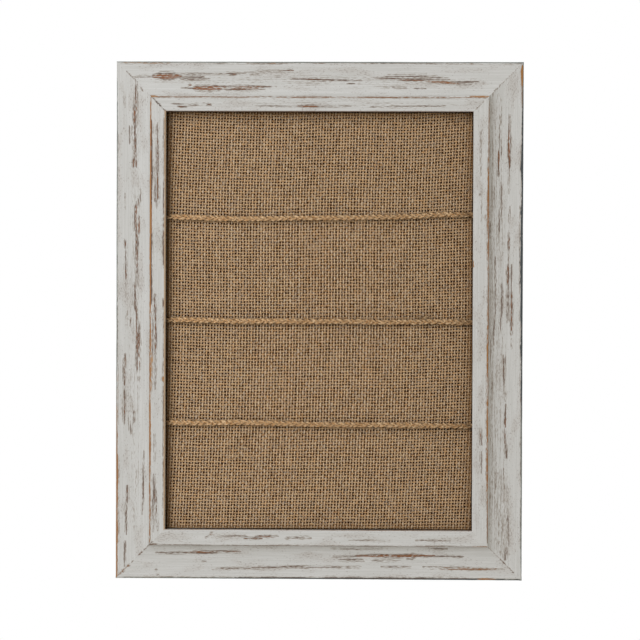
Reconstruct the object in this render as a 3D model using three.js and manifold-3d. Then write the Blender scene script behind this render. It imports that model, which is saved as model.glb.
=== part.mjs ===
// Burlap memo board: a mitred moulding frame, a burlap-covered board set into its rebate,
// three lines of twine across the burlap, and a back held in by turn buttons.
// Millimetres. X runs to the right, Y runs back into the wall, Z runs up.
// The origin is the middle notch of the hanger, on the wall side, where a wall nail carries the board.
import * as THREE from "three";
import { mergeVertices } from "three/addons/utils/BufferGeometryUtils.js";
import Module from "manifold-3d";

const wasm = await Module();
wasm.setup();

// Frame
const FRAME_WIDTH = 279.4;
const FRAME_HEIGHT = 355.6;
const MITRE_GAP = 0.3;

// Moulding section, across the rail from its outer edge to its sight edge
const RAIL_WIDTH = 34.4;
const BAND_WIDTH = 8;
const LIP_WIDTH = 11.1;
const REBATE_WIDTH = 7;
const LIP_THICKNESS = 5.6;
const LIP_RISE = 6;
const LIP_STEP = 1.4;
const OUTER_ROUND = 1.5;
const LIP_ROUND = 0.7;

// What lies in the rebate, from the back to the front
const PANEL_THICKNESS = 3;
const CLOTH_THICKNESS = 0.9;
const CORE_THICKNESS = 3;
const TWINE_DIAMETER = 3.6;
const HEM_WIDTH = 22;
const BOARD_PLAY = 0.5;
const PANEL_PLAY = 0.5;
const BOARD_CORNER = 1.5;
const PANEL_CORNER = 2;

// Twine: heights above its level line, evenly spaced from the left end to the right end
const TWINE_END_PLAY = 0.8;
const TWINE_STEPS = 40;
const TWINE_SIDES = 8;
const TWINE_WANDER = {
  upper: [-0.1, -0.4, -0.8, -1.2, -1.5, -1.4, -1.2, -0.9, -0.7, -0.5, -0.2, 0.1, 0.3, 0.8, 1.3, 1.0, 0.8],
  middle: [0.5, 0.7, 0.5, 0.1, -0.1, 0.1, 0, -0.3, -0.3, -0.3, -0.5, -0.8, -0.8, -0.5, -0.6, -1.0, -1.0],
  lower: [2.1, 1.9, 1.6, 1.6, 1.6, 1.4, 1.2, 1.0, 0.7, 0.4, 0.2, 0.1, 0.1, 0, -0.2, -0.4, -0.4],
};

// Twine staples
const STAPLE_SIDE_GAP = 1.8;
const STAPLE_WIRE = 0.6;
const STAPLE_WIDTH = 1;
const STAPLE_BITE = 1.3;
const STAPLE_COVER = 1.6;

// Turn buttons and their screws
const BUTTON_SPACING = 190;
const BUTTON_SETBACK = 9;
const BUTTON_REACH = 17;
const BUTTON_EYE_RADIUS = 5.5;
const BUTTON_TIP_RADIUS = 3.6;
const BUTTON_THICKNESS = 1;
const BUTTON_RIB_WIDTH = 2.4;
const BUTTON_RIB_HEIGHT = 0.6;
const BUTTON_RIB_MARGIN = 2.2;
const SCREW_RADIUS = 1.4;
const SCREW_HEAD_RADIUS = 3.2;
const SCREW_HEAD_HEIGHT = 1.6;
const SCREW_LENGTH = 9;
const SCREW_POINT = 2.5;
const SCREW_SLOT_WIDTH = 0.7;
const SCREW_SLOT_LENGTH = 3.6;
const SCREW_SLOT_DEPTH = 0.8;
const RUNNING_CLEARANCE = 0.1;
const TURNING_GAP = 0.2;

// Sawtooth hanger and its nails
const HANGER_LENGTH = 46;
const HANGER_HEIGHT = 9;
const HANGER_THICKNESS = 0.9;
const HANGER_RAISE = 2.2;
const HANGER_TAB = 9;
const HANGER_RAMP = 3;
const HANGER_EDGE_GAP = 10;
const TOOTH_PITCH = 3;
const TOOTH_GAP = 2;
const TOOTH_DEPTH = 2.2;
const NAIL_RADIUS = 0.65;
const NAIL_HEAD_RADIUS = 1.7;
const NAIL_HEAD_HEIGHT = 0.7;
const NAIL_LENGTH = 8;
const NAIL_POINT = 1.6;

// Corner wedges: folded steel strips pressed across each mitre from behind
const WEDGE_LEG = 5;
const WEDGE_STRIP = 0.6;
const WEDGE_DEPTH = 8;
const WEDGE_SINK = 0.4;
const WEDGE_EDGE_GAP = 8.5;
const WEDGE_REBATE_GAP = 2.4;

// Clearances, the distance that a cut runs past the face it opens, and roundness
const FIT = 0.3;
const SEAT_GAP = 0.2;
const CUT_PAST = 1;
const ARC_STEPS = 5;
const ROUND_STEPS = 24;
const ROUTE_SAMPLES = 400;

// Depths, measured forwards from the back of the rails
const hemBack = PANEL_THICKNESS + FIT;
const coreBack = hemBack + CLOTH_THICKNESS + FIT;
const coreFront = coreBack + CORE_THICKNESS;
const clothFront = coreFront + FIT + CLOTH_THICKNESS;
const twineBack = clothFront + FIT;
const twineAxis = twineBack + TWINE_DIAMETER / 2;
const rebateDepth = twineBack + TWINE_DIAMETER + FIT;
const frameDepth = rebateDepth + LIP_THICKNESS;
const edgeDepth = frameDepth - LIP_RISE;

// Widths and heights that several pieces share
const sightWidth = FRAME_WIDTH - 2 * RAIL_WIDTH;
const sightHeight = FRAME_HEIGHT - 2 * RAIL_WIDTH;
const rebateOpening = {
  width: sightWidth + 2 * REBATE_WIDTH,
  height: sightHeight + 2 * REBATE_WIDTH,
};
const backWidth = RAIL_WIDTH - REBATE_WIDTH;
const stapleOffset = (sightWidth + REBATE_WIDTH) / 2;
const wedgeInsets = {
  outer: WEDGE_EDGE_GAP,
  inner: backWidth - WEDGE_REBATE_GAP - WEDGE_LEG,
};

const paintedWood = { color: 0xbcbab5, roughness: 0.8, metalness: 0 };
const burlap = { color: 0x8c7358, roughness: 0.95, metalness: 0 };
const jute = { color: 0x9c7f5a, roughness: 0.95, metalness: 0 };
const hardboard = { color: 0x7a5a3c, roughness: 0.75, metalness: 0 };
const zincSteel = { color: 0xb4b6b8, roughness: 0.35, metalness: 1 };
const brassedSteel = { color: 0xb59a5a, roughness: 0.35, metalness: 1 };

function piece(name, geometry, finish) {
  const mesh = new THREE.Mesh(geometry, new THREE.MeshStandardMaterial(finish));
  mesh.name = name;
  return mesh;
}

function solidOf(geometry) {
  const bare = geometry.clone();
  bare.deleteAttribute("normal");
  bare.deleteAttribute("uv");
  const merged = mergeVertices(bare);
  const vertProperties = Float32Array.from(merged.getAttribute("position").array);
  const triVerts = Uint32Array.from(merged.getIndex().array);
  return new wasm.Manifold(new wasm.Mesh({ numProp: 3, vertProperties, triVerts }));
}

function geometryOf(solid) {
  const mesh = solid.getMesh();
  const geometry = new THREE.BufferGeometry();
  geometry.setAttribute("position", new THREE.BufferAttribute(mesh.vertProperties, 3));
  geometry.setIndex(new THREE.BufferAttribute(mesh.triVerts, 1));
  geometry.computeVertexNormals();
  return geometry;
}

function subtract(geometry, ...cutters) {
  return geometryOf(cutters.reduce((rest, cutter) => rest.subtract(solidOf(cutter)), solidOf(geometry)));
}

// Cuts from a placed piece the pockets of the pieces that are driven into it.
function carve(host, guests) {
  const toHost = host.matrixWorld.clone().invert();
  const pockets = guests.map((guest) => {
    const place = toHost.clone().multiply(guest.matrixWorld);
    return guest.userData.pocket.clone().applyMatrix4(place);
  });
  host.geometry = subtract(host.geometry, ...pockets);
}

function extrude(shape, depth) {
  return new THREE.ExtrudeGeometry(shape, { depth, bevelEnabled: false, curveSegments: ARC_STEPS });
}

// A flat board that stands in the XZ plane, with its back at y = -back.
function standingBoard(width, height, corner, back, thickness) {
  const x = width / 2;
  const y = height / 2;
  const shape = new THREE.Shape();
  shape.moveTo(x, -y + corner);
  shape.absarc(x - corner, y - corner, corner, 0, Math.PI / 2);
  shape.absarc(-x + corner, y - corner, corner, Math.PI / 2, Math.PI);
  shape.absarc(-x + corner, -y + corner, corner, Math.PI, Math.PI * 1.5);
  shape.absarc(x - corner, -y + corner, corner, Math.PI * 1.5, Math.PI * 2);
  return extrude(shape, thickness).rotateX(Math.PI / 2).translate(0, -back, 0);
}

function revolve(profile) {
  const points = profile.map(([radius, height]) => new THREE.Vector2(radius, height));
  return new THREE.LatheGeometry(points, ROUND_STEPS);
}

// Moulding section: x across the rail from its outer edge, y forwards from its back.
function mouldingSection() {
  const lipStart = RAIL_WIDTH - LIP_WIDTH;
  const coveTop = frameDepth - LIP_STEP;
  const section = new THREE.Shape();
  section.moveTo(0, 0);
  section.lineTo(backWidth, 0);
  section.lineTo(backWidth, rebateDepth);
  section.lineTo(RAIL_WIDTH, rebateDepth);
  section.absarc(RAIL_WIDTH - LIP_ROUND, frameDepth - LIP_ROUND, LIP_ROUND, 0, Math.PI / 2);
  section.absarc(lipStart + LIP_ROUND, frameDepth - LIP_ROUND, LIP_ROUND, Math.PI / 2, Math.PI);
  section.lineTo(lipStart, coveTop);
  const coveWidth = lipStart - BAND_WIDTH;
  section.absellipse(BAND_WIDTH, coveTop, coveWidth, coveTop - edgeDepth, 0, -Math.PI / 2, true);
  section.absarc(OUTER_ROUND, edgeDepth - OUTER_ROUND, OUTER_ROUND, Math.PI / 2, Math.PI);
  return section;
}

// A rail along X, with its outer edge at z = 0, its back at y = 0 and both ends mitred.
function mitredRail(length) {
  const geometry = extrude(mouldingSection(), 1);
  const across = new THREE.Vector3(0, 0, 1);
  const forwards = new THREE.Vector3(0, -1, 0);
  const along = new THREE.Vector3(1, 0, 0);
  geometry.applyMatrix4(new THREE.Matrix4().makeBasis(across, forwards, along));
  const position = geometry.getAttribute("position");
  for (let i = 0; i < position.count; i += 1) {
    const side = position.getX(i) > 0.5 ? 1 : -1;
    position.setX(i, side * (length / 2 - position.getZ(i) - MITRE_GAP / Math.SQRT2));
  }
  return geometry;
}

// One folded strip in the plane of the frame; its legs run along the two rails that meet there.
function wedgeStrip(grow, depth) {
  const outer = WEDGE_LEG + grow;
  const inner = WEDGE_STRIP + grow;
  const shape = new THREE.Shape();
  shape.moveTo(-grow, -grow);
  shape.lineTo(outer, -grow);
  shape.lineTo(outer, inner);
  shape.lineTo(inner, inner);
  shape.lineTo(inner, outer);
  shape.lineTo(-grow, outer);
  return extrude(shape, depth).rotateX(Math.PI / 2);
}

function cornerWedge(name) {
  const wedge = piece(name, wedgeStrip(0, WEDGE_DEPTH).translate(0, -WEDGE_SINK, 0), zincSteel);
  const pocketDepth = CUT_PAST + WEDGE_SINK + WEDGE_DEPTH + FIT;
  wedge.userData.pocket = wedgeStrip(FIT, pocketDepth).translate(0, CUT_PAST, 0);
  return wedge;
}

// A staple with its crown along Z, its legs forwards, and y = 0 at the back of the lip.
function stapleShape(grow) {
  const inside = TWINE_DIAMETER / 2 + STAPLE_SIDE_GAP - grow;
  const half = TWINE_DIAMETER / 2 + STAPLE_SIDE_GAP + STAPLE_WIRE + grow;
  const crownFront = rebateDepth - twineBack - STAPLE_BITE;
  const crownBack = crownFront + STAPLE_WIRE + grow;
  const legEnd = STAPLE_COVER - LIP_THICKNESS - grow;
  const shape = new THREE.Shape();
  shape.moveTo(-half, legEnd);
  shape.lineTo(-inside, legEnd);
  shape.lineTo(-inside, crownFront - grow);
  shape.lineTo(inside, crownFront - grow);
  shape.lineTo(inside, legEnd);
  shape.lineTo(half, legEnd);
  shape.lineTo(half, crownBack - STAPLE_WIRE);
  shape.absarc(half - STAPLE_WIRE, crownBack - STAPLE_WIRE, STAPLE_WIRE, 0, Math.PI / 2);
  shape.absarc(-half + STAPLE_WIRE, crownBack - STAPLE_WIRE, STAPLE_WIRE, Math.PI / 2, Math.PI);
  return shape;
}

function staple(name) {
  const width = STAPLE_WIDTH + 2 * FIT;
  const turn = new THREE.Matrix4().makeRotationY(-Math.PI / 2);
  const geometry = extrude(stapleShape(0), STAPLE_WIDTH).translate(0, 0, -STAPLE_WIDTH / 2);
  const pocket = extrude(stapleShape(FIT), width).translate(0, 0, -width / 2);
  const mesh = piece(name, geometry.applyMatrix4(turn), zincSteel);
  mesh.userData.pocket = pocket.applyMatrix4(turn);
  return mesh;
}

// A turn button flat against the rail's back, its eye at the origin and its tip towards +Z.
function turnButton(name) {
  const tip = BUTTON_REACH - BUTTON_TIP_RADIUS;
  const lean = Math.asin((BUTTON_EYE_RADIUS - BUTTON_TIP_RADIUS) / tip);
  const outline = new THREE.Shape();
  outline.absarc(0, 0, BUTTON_EYE_RADIUS, Math.PI - lean, lean + 2 * Math.PI);
  outline.absarc(0, tip, BUTTON_TIP_RADIUS, lean, Math.PI - lean);
  const eye = new THREE.Path();
  eye.absarc(0, 0, SCREW_RADIUS + RUNNING_CLEARANCE, 0, 2 * Math.PI, true);
  outline.holes.push(eye);
  const plate = new THREE.ExtrudeGeometry(outline, {
    depth: BUTTON_THICKNESS,
    bevelEnabled: false,
    curveSegments: ROUND_STEPS / 2,
  });
  const halfRib = BUTTON_RIB_WIDTH / 2;
  const ribStart = SCREW_HEAD_RADIUS + FIT + halfRib;
  const ribEnd = BUTTON_REACH - BUTTON_RIB_MARGIN - halfRib;
  const rib = new THREE.Shape();
  rib.absarc(0, ribStart, halfRib, Math.PI, 2 * Math.PI);
  rib.absarc(0, ribEnd, halfRib, 0, Math.PI);
  const bevel = BUTTON_RIB_HEIGHT / 2;
  const pressedRib = new THREE.ExtrudeGeometry(rib, {
    depth: BUTTON_THICKNESS / 2,
    bevelThickness: bevel,
    bevelSize: bevel,
    bevelOffset: -bevel,
    bevelSegments: 2,
    curveSegments: ARC_STEPS,
  });
  pressedRib.translate(0, 0, bevel - BUTTON_RIB_HEIGHT);
  const joined = geometryOf(solidOf(plate).add(solidOf(pressedRib)));
  joined.rotateX(Math.PI / 2).translate(0, TURNING_GAP + BUTTON_THICKNESS, 0);
  return piece(name, joined, zincSteel);
}

// A round-headed cross-slot screw driven forwards, with y = 0 at the rail's back.
function buttonScrew(name) {
  const seat = 2 * TURNING_GAP + BUTTON_THICKNESS;
  const top = seat + SCREW_HEAD_HEIGHT;
  const profile = [
    [0, -SCREW_LENGTH],
    [SCREW_RADIUS, -SCREW_LENGTH + SCREW_POINT],
    [SCREW_RADIUS, seat],
  ];
  for (let i = 0; i <= ARC_STEPS; i += 1) {
    const angle = (i / ARC_STEPS) * (Math.PI / 2);
    profile.push([SCREW_HEAD_RADIUS * Math.cos(angle), seat + SCREW_HEAD_HEIGHT * Math.sin(angle)]);
  }
  profile[profile.length - 1][0] = 0;
  const slotCut = SCREW_SLOT_DEPTH + CUT_PAST;
  const slot = new THREE.BoxGeometry(SCREW_SLOT_WIDTH, slotCut, SCREW_SLOT_LENGTH);
  slot.translate(0, top - SCREW_SLOT_DEPTH + slotCut / 2, 0);
  const cross = slot.clone().rotateY(Math.PI / 2);
  const screw = piece(name, subtract(revolve(profile), slot, cross), zincSteel);
  screw.userData.pocket = revolve([
    [0, -SCREW_LENGTH - FIT],
    [SCREW_RADIUS + FIT, -SCREW_LENGTH - FIT],
    [SCREW_RADIUS + FIT, CUT_PAST],
    [0, CUT_PAST],
  ]);
  return screw;
}

// A raised strip along X with its tabs on the rail, y = 0 at the rail's back and teeth along z = 0.
function sawtoothHanger(name) {
  const end = HANGER_LENGTH / 2;
  const tab = end - HANGER_TAB;
  const raised = tab - HANGER_RAMP;
  const low = SEAT_GAP;
  const high = low + HANGER_RAISE;
  const strip = new THREE.Shape();
  strip.moveTo(-end, low);
  strip.lineTo(-tab, low);
  strip.lineTo(-raised, high);
  strip.lineTo(raised, high);
  strip.lineTo(tab, low);
  strip.lineTo(end, low);
  strip.lineTo(end, low + HANGER_THICKNESS);
  strip.lineTo(tab, low + HANGER_THICKNESS);
  strip.lineTo(raised, high + HANGER_THICKNESS);
  strip.lineTo(-raised, high + HANGER_THICKNESS);
  strip.lineTo(-tab, low + HANGER_THICKNESS);
  strip.lineTo(-end, low + HANGER_THICKNESS);
  const mouth = (TOOTH_GAP / 2) * (1 + CUT_PAST / TOOTH_DEPTH);
  const notch = new THREE.Shape();
  notch.moveTo(-mouth, -CUT_PAST);
  notch.lineTo(mouth, -CUT_PAST);
  notch.lineTo(0, TOOTH_DEPTH);
  const through = HANGER_THICKNESS + 2 * CUT_PAST;
  const cutters = [];
  const pairs = Math.floor((raised - TOOTH_GAP / 2) / TOOTH_PITCH);
  for (let i = -pairs; i <= pairs; i += 1) {
    const tooth = extrude(notch, through).rotateX(Math.PI / 2);
    cutters.push(tooth.translate(i * TOOTH_PITCH, high + HANGER_THICKNESS + CUT_PAST, 0));
  }
  for (const side of [-1, 1]) {
    const hole = new THREE.CylinderGeometry(NAIL_RADIUS + FIT, NAIL_RADIUS + FIT, through, ROUND_STEPS);
    const x = side * (end - HANGER_TAB / 2);
    cutters.push(hole.translate(x, low + HANGER_THICKNESS / 2, HANGER_HEIGHT / 2));
  }
  return piece(name, subtract(extrude(strip, HANGER_HEIGHT), ...cutters), brassedSteel);
}

// A flat-headed nail driven forwards through a hanger tab, with y = 0 at the rail's back.
function hangerNail(name) {
  const seat = 2 * SEAT_GAP + HANGER_THICKNESS;
  const nail = piece(name, revolve([
    [0, -NAIL_LENGTH],
    [NAIL_RADIUS, -NAIL_LENGTH + NAIL_POINT],
    [NAIL_RADIUS, seat],
    [NAIL_HEAD_RADIUS, seat],
    [NAIL_HEAD_RADIUS, seat + NAIL_HEAD_HEIGHT],
    [0, seat + NAIL_HEAD_HEIGHT],
  ]), brassedSteel);
  nail.userData.pocket = revolve([
    [0, -NAIL_LENGTH - FIT],
    [NAIL_RADIUS + FIT, -NAIL_LENGTH - FIT],
    [NAIL_RADIUS + FIT, CUT_PAST],
    [0, CUT_PAST],
  ]);
  return nail;
}

// The route of one twine line, level but for its wander, from rebate to rebate.
function twineRoute(height, wander) {
  const half = rebateOpening.width / 2 - TWINE_END_PLAY;
  const points = wander.map((offset, i) => {
    const x = -half + (2 * half * i) / (wander.length - 1);
    return new THREE.Vector3(x, -twineAxis, height + offset);
  });
  return new THREE.CatmullRomCurve3(points);
}

function heightAt(route, x) {
  const samples = route.getPoints(ROUTE_SAMPLES);
  return samples.reduce((best, point) => (Math.abs(point.x - x) < Math.abs(best.x - x) ? point : best)).z;
}

function twineLine(name, route) {
  const section = new THREE.Shape();
  for (let i = 0; i < TWINE_SIDES; i += 1) {
    const angle = (i / TWINE_SIDES) * 2 * Math.PI;
    const x = (TWINE_DIAMETER / 2) * Math.cos(angle);
    const y = (TWINE_DIAMETER / 2) * Math.sin(angle);
    if (i === 0) section.moveTo(x, y);
    else section.lineTo(x, y);
  }
  const tube = new THREE.ExtrudeGeometry(section, { steps: TWINE_STEPS, extrudePath: route });
  return piece(name, tube, jute);
}

// The burlap: across the front of the core, round its edges and turned over its back as a hem.
function burlapCloth(name) {
  const width = rebateOpening.width - 2 * BOARD_PLAY;
  const height = rebateOpening.height - 2 * BOARD_PLAY;
  const wrap = CLOTH_THICKNESS;
  const corner = BOARD_CORNER + FIT;
  const outside = standingBoard(width, height, corner + wrap, hemBack, clothFront - hemBack);
  const hollow = standingBoard(
    width - 2 * wrap, height - 2 * wrap, corner, hemBack + wrap, clothFront - hemBack - 2 * wrap);
  const window = standingBoard(
    width - 2 * HEM_WIDTH, height - 2 * HEM_WIDTH, corner, hemBack - CUT_PAST, CUT_PAST + wrap + FIT);
  return piece(name, subtract(outside, hollow, window), burlap);
}

function boardCore(name) {
  const inset = 2 * (BOARD_PLAY + CLOTH_THICKNESS + FIT);
  const width = rebateOpening.width - inset;
  const height = rebateOpening.height - inset;
  return piece(name, standingBoard(width, height, BOARD_CORNER, coreBack, CORE_THICKNESS), hardboard);
}

function backPanel(name) {
  const width = rebateOpening.width - 2 * PANEL_PLAY;
  const height = rebateOpening.height - 2 * PANEL_PLAY;
  return piece(name, standingBoard(width, height, PANEL_CORNER, 0, PANEL_THICKNESS), hardboard);
}

// A side of the frame: its rail and, in the same group, what is fixed to it.
function frameSide(side, length, turn, x, z) {
  const group = new THREE.Group();
  group.position.set(x, 0, z);
  group.rotation.y = turn;
  const rail = piece(`rail_${side}`, mitredRail(length), paintedWood);
  group.add(rail);
  return { group, rail, length, driven: [] };
}

function fasten(side, mesh, x, z, turn = 0) {
  mesh.position.set(x, 0, z);
  mesh.rotation.y = turn;
  side.group.add(mesh);
  if (mesh.userData.pocket) side.driven.push(mesh);
}

const frame = new THREE.Group();
const sides = {
  bottom: frameSide("bottom", FRAME_WIDTH, 0, 0, -FRAME_HEIGHT / 2),
  right: frameSide("right", FRAME_HEIGHT, -Math.PI / 2, FRAME_WIDTH / 2, 0),
  top: frameSide("top", FRAME_WIDTH, Math.PI, 0, FRAME_HEIGHT / 2),
  left: frameSide("left", FRAME_HEIGHT, Math.PI / 2, -FRAME_WIDTH / 2, 0),
};
for (const side of Object.values(sides)) frame.add(side.group);

// Two wedges at each corner, shared by the rail they belong to and the next rail round.
const ring = ["bottom", "right", "top", "left"];
ring.forEach((name, i) => {
  const next = ring[(i + 1) % ring.length];
  for (const [place, inset] of Object.entries(wedgeInsets)) {
    const wedge = cornerWedge(`corner_wedge_${name}_${next}_${place}`);
    fasten(sides[name], wedge, sides[name].length / 2 - inset, inset, -Math.PI / 2);
    sides[next].driven.push(wedge);
  }
});

// Turn buttons and screws, two on each upright rail; local x runs down the left rail and up the right one.
for (const [name, up] of [["left", -1], ["right", 1]]) {
  for (const [level, sign] of [["upper", 1], ["lower", -1]]) {
    const x = (up * sign * BUTTON_SPACING) / 2;
    const z = backWidth - BUTTON_SETBACK;
    fasten(sides[name], turnButton(`turn_button_${level}_${name}`), x, z);
    fasten(sides[name], buttonScrew(`button_screw_${level}_${name}`), x, z);
  }
}

// The hanger hangs teeth down; the top rail's group is upside down, so it is turned back upright.
const hangerZ = HANGER_EDGE_GAP + HANGER_HEIGHT;
fasten(sides.top, sawtoothHanger("sawtooth_hanger"), 0, hangerZ, Math.PI);
for (const [name, sign] of [["left", 1], ["right", -1]]) {
  const x = (sign * (HANGER_LENGTH - HANGER_TAB)) / 2;
  fasten(sides.top, hangerNail(`hanger_nail_${name}`), x, hangerZ - HANGER_HEIGHT / 2);
}

// Wrapped board, back panel and twine lines, level at each quarter of the sight height.
frame.add(boardCore("board_core"), burlapCloth("burlap_cloth"), backPanel("back_panel"));
const lines = [];
Object.entries(TWINE_WANDER).forEach(([level, wander], i) => {
  const route = twineRoute((sightHeight / 4) * (1 - i), wander);
  const line = { twine: twineLine(`twine_${level}`, route), staples: [] };
  frame.add(line.twine);
  for (const [name, sign] of [["left", -1], ["right", 1]]) {
    const mesh = staple(`twine_staple_${level}_${name}`);
    mesh.position.set(sign * stapleOffset, -rebateDepth, heightAt(route, sign * stapleOffset));
    frame.add(mesh);
    line.staples.push(mesh);
    sides[name].driven.push(mesh);
  }
  lines.push(line);
});

frame.updateMatrixWorld(true);
for (const side of Object.values(sides)) carve(side.rail, side.driven);
for (const line of lines) carve(line.twine, line.staples);

// Bring the hanger's middle notch, on its wall side, to the origin.
const hangerBack = SEAT_GAP + HANGER_RAISE + HANGER_THICKNESS;
frame.position.set(0, -hangerBack, -(FRAME_HEIGHT / 2 - hangerZ + TOOTH_DEPTH));
const board = new THREE.Group();
board.add(frame);

export default board;
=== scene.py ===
# %% [markdown]
# # A burlap memo board in a rubbed-back frame
#
# The object is a portrait frame of white painted moulding, rubbed back to the wood along its edges and
# grain. It holds a flat board wrapped in natural burlap, and three lines of plaited jute twine cross the
# board. This lesson dresses the CAD model in Blender: every piece goes where the CAD has it, so no piece
# is placed by eye.

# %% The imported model
import math

import bmesh
import bpy
import numpy as np
from mathutils import Matrix, Vector


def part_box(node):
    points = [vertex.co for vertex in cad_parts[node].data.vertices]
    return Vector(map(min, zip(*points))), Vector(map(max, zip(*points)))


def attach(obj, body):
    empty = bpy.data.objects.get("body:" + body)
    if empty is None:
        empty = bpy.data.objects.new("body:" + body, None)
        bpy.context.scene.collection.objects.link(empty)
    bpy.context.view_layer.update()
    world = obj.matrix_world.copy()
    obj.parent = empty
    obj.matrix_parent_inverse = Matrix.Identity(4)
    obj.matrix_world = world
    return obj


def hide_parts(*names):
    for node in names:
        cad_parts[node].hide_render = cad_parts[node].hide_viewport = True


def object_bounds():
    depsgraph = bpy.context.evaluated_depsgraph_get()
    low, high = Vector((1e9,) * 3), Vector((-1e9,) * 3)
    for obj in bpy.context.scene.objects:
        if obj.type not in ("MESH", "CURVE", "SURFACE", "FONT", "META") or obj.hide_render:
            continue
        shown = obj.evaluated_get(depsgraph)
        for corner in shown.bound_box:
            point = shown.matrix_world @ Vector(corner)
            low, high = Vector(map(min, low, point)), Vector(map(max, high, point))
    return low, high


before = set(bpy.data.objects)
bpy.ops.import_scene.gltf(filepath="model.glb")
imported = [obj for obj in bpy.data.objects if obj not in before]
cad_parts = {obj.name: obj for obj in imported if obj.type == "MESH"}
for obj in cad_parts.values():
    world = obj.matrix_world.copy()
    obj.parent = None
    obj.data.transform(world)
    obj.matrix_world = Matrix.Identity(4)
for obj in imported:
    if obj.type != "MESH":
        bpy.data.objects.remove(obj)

cad_low, cad_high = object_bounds()
scene = bpy.context.scene
scene.view_settings.view_transform = "Standard"
MM = 0.001
print("CAD box", [round(v, 4) for v in (*cad_low, *cad_high)])

# %% [markdown]
# ## The camera
#
# The photograph looks at the board almost squarely, from a little to the right and above, with the flat
# look of a long lens. A long lens far away gives that: the lip stands 6 mm proud of the outer edge, and
# how far it seems to shift against that edge tells the distance. The camera was set so that corners, lip
# and opening all meet the photo.

# %% The camera
CAMERA_PLACE = (0.095, -2.6981, -0.1075)
CAMERA_TURN = (88.871, -0.192, 2.018)
LENS = 220
SENSOR_WIDTH = 36
camera = bpy.data.objects.new("camera", bpy.data.cameras.new("camera"))
camera.data.lens = LENS
camera.data.sensor_width = SENSOR_WIDTH
camera.location = CAMERA_PLACE
camera.rotation_euler = [math.radians(angle) for angle in CAMERA_TURN]
scene.collection.objects.link(camera)
scene.camera = camera
print("camera", CAMERA_PLACE)

# %% [markdown]
# ## Where things are
#
# Camera, lamp and floor are given in metres. The frame's own box gives its width, height, rail width and
# depth, so the dressing follows the CAD. A place on the board is given as millimetres right of, forward
# of and up from the middle of the frame's back.

# %% The frame's measures
left_low, left_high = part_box("rail_left")
right_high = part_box("rail_right")[1]
FRAME_WIDTH = (right_high.x - left_low.x) / MM
FRAME_HEIGHT = (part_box("rail_top")[1].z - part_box("rail_bottom")[0].z) / MM
RAIL_WIDTH = (left_high.x - left_low.x) / MM
RAIL_DEPTH = (left_high.y - left_low.y) / MM
MIDDLE = Vector((0, left_high.y, (left_low.z + left_high.z) / 2))


def place(across, forward, up):
    """Millimetres right, forward and up from the middle of the frame's back, as metres in the row frame."""
    across, forward, up = np.broadcast_arrays(across, forward, up)
    return np.stack([MIDDLE.x + across * MM, MIDDLE.y - forward * MM, MIDDLE.z + up * MM], axis=-1)


print("frame", round(FRAME_WIDTH, 1), "x", round(FRAME_HEIGHT, 1), "x", round(RAIL_DEPTH, 1), "mm")

# %% [markdown]
# ## Colours and nodes
#
# Colours are written as sRGB hex values, as a paint chart or a photo editor shows them. Blender's shaders
# work on linear light, so one function converts them. One more function adds a node: its own settings are
# keywords, and its inputs are values or the sockets they are joined to. Most finishes here are coats of
# colour, each laid over the last where some pattern is strong enough, so that has a function too.

# %% Colours and nodes
def linear(code):
    """An sRGB hex colour as linear red, green, blue and alpha."""
    channels = [int(code[i:i + 2], 16) / 255 for i in (1, 3, 5)]
    return [c / 12.92 if c <= 0.04045 else ((c + 0.055) / 1.055) ** 2.4 for c in channels] + [1.0]


def add_node(tree, kind, inputs=None, **settings):
    """Adds a node. Each input is a value, a socket, or a node whose first output is used."""
    node = tree.nodes.new(kind)
    for name, value in settings.items():
        setattr(node, name, value)
    for key, value in (inputs or {}).items():
        if isinstance(value, bpy.types.Node):
            value = value.outputs[0]
        if isinstance(value, bpy.types.NodeSocket):
            tree.links.new(value, node.inputs[key])
        else:
            node.inputs[key].default_value = value
    return node


def coat(tree, under, over, pattern, start, full):
    """Lays one colour over another, from where a pattern reaches start to where it reaches full."""
    mask = add_node(tree, "ShaderNodeMapRange", {
        "Value": pattern, "From Min": start, "From Max": full}, interpolation_type="SMOOTHSTEP")
    return add_node(tree, "ShaderNodeMix", {0: mask, 6: under, 7: over}, data_type="RGBA").outputs[2]


def new_material(name, roughness, metallic=0.0):
    """A material with one Principled shader, given as (material, node tree, shader)."""
    material = bpy.data.materials.new(name)
    material.use_nodes = True
    shader = material.node_tree.nodes["Principled BSDF"]
    shader.inputs["Roughness"].default_value = roughness
    shader.inputs["Metallic"].default_value = metallic
    return material, material.node_tree, shader


def settle(piece, body, slot, *nodes):
    """The piece moves with a body and stands for these CAD nodes, which it hides. The slot is not used."""
    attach(piece, body)
    if nodes:
        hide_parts(*nodes)


print("mid grey in linear light", round(linear("#808080")[0], 3))

# %% [markdown]
# ## Geometry Nodes in a script
#
# Yarns, plaits, fibres and corner wedges repeat, so Geometry Nodes make them. A tree is built once with
# named inputs for its sizes. It runs as a modifier on a small source object, and the result is kept as a
# plain mesh.

# %% Geometry Nodes in a script
def new_tree(name, inputs):
    """A Geometry Nodes tree with these named inputs, given as (tree, sockets that hold the inputs)."""
    tree = bpy.data.node_groups.new(name, "GeometryNodeTree")
    tree.interface.new_socket("Geometry", in_out="INPUT", socket_type="NodeSocketGeometry")
    tree.interface.new_socket("Geometry", in_out="OUTPUT", socket_type="NodeSocketGeometry")
    for label, kind in inputs.items():
        tree.interface.new_socket(label, in_out="INPUT", socket_type="NodeSocket" + kind)
    return tree, tree.nodes.new("NodeGroupInput").outputs


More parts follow.
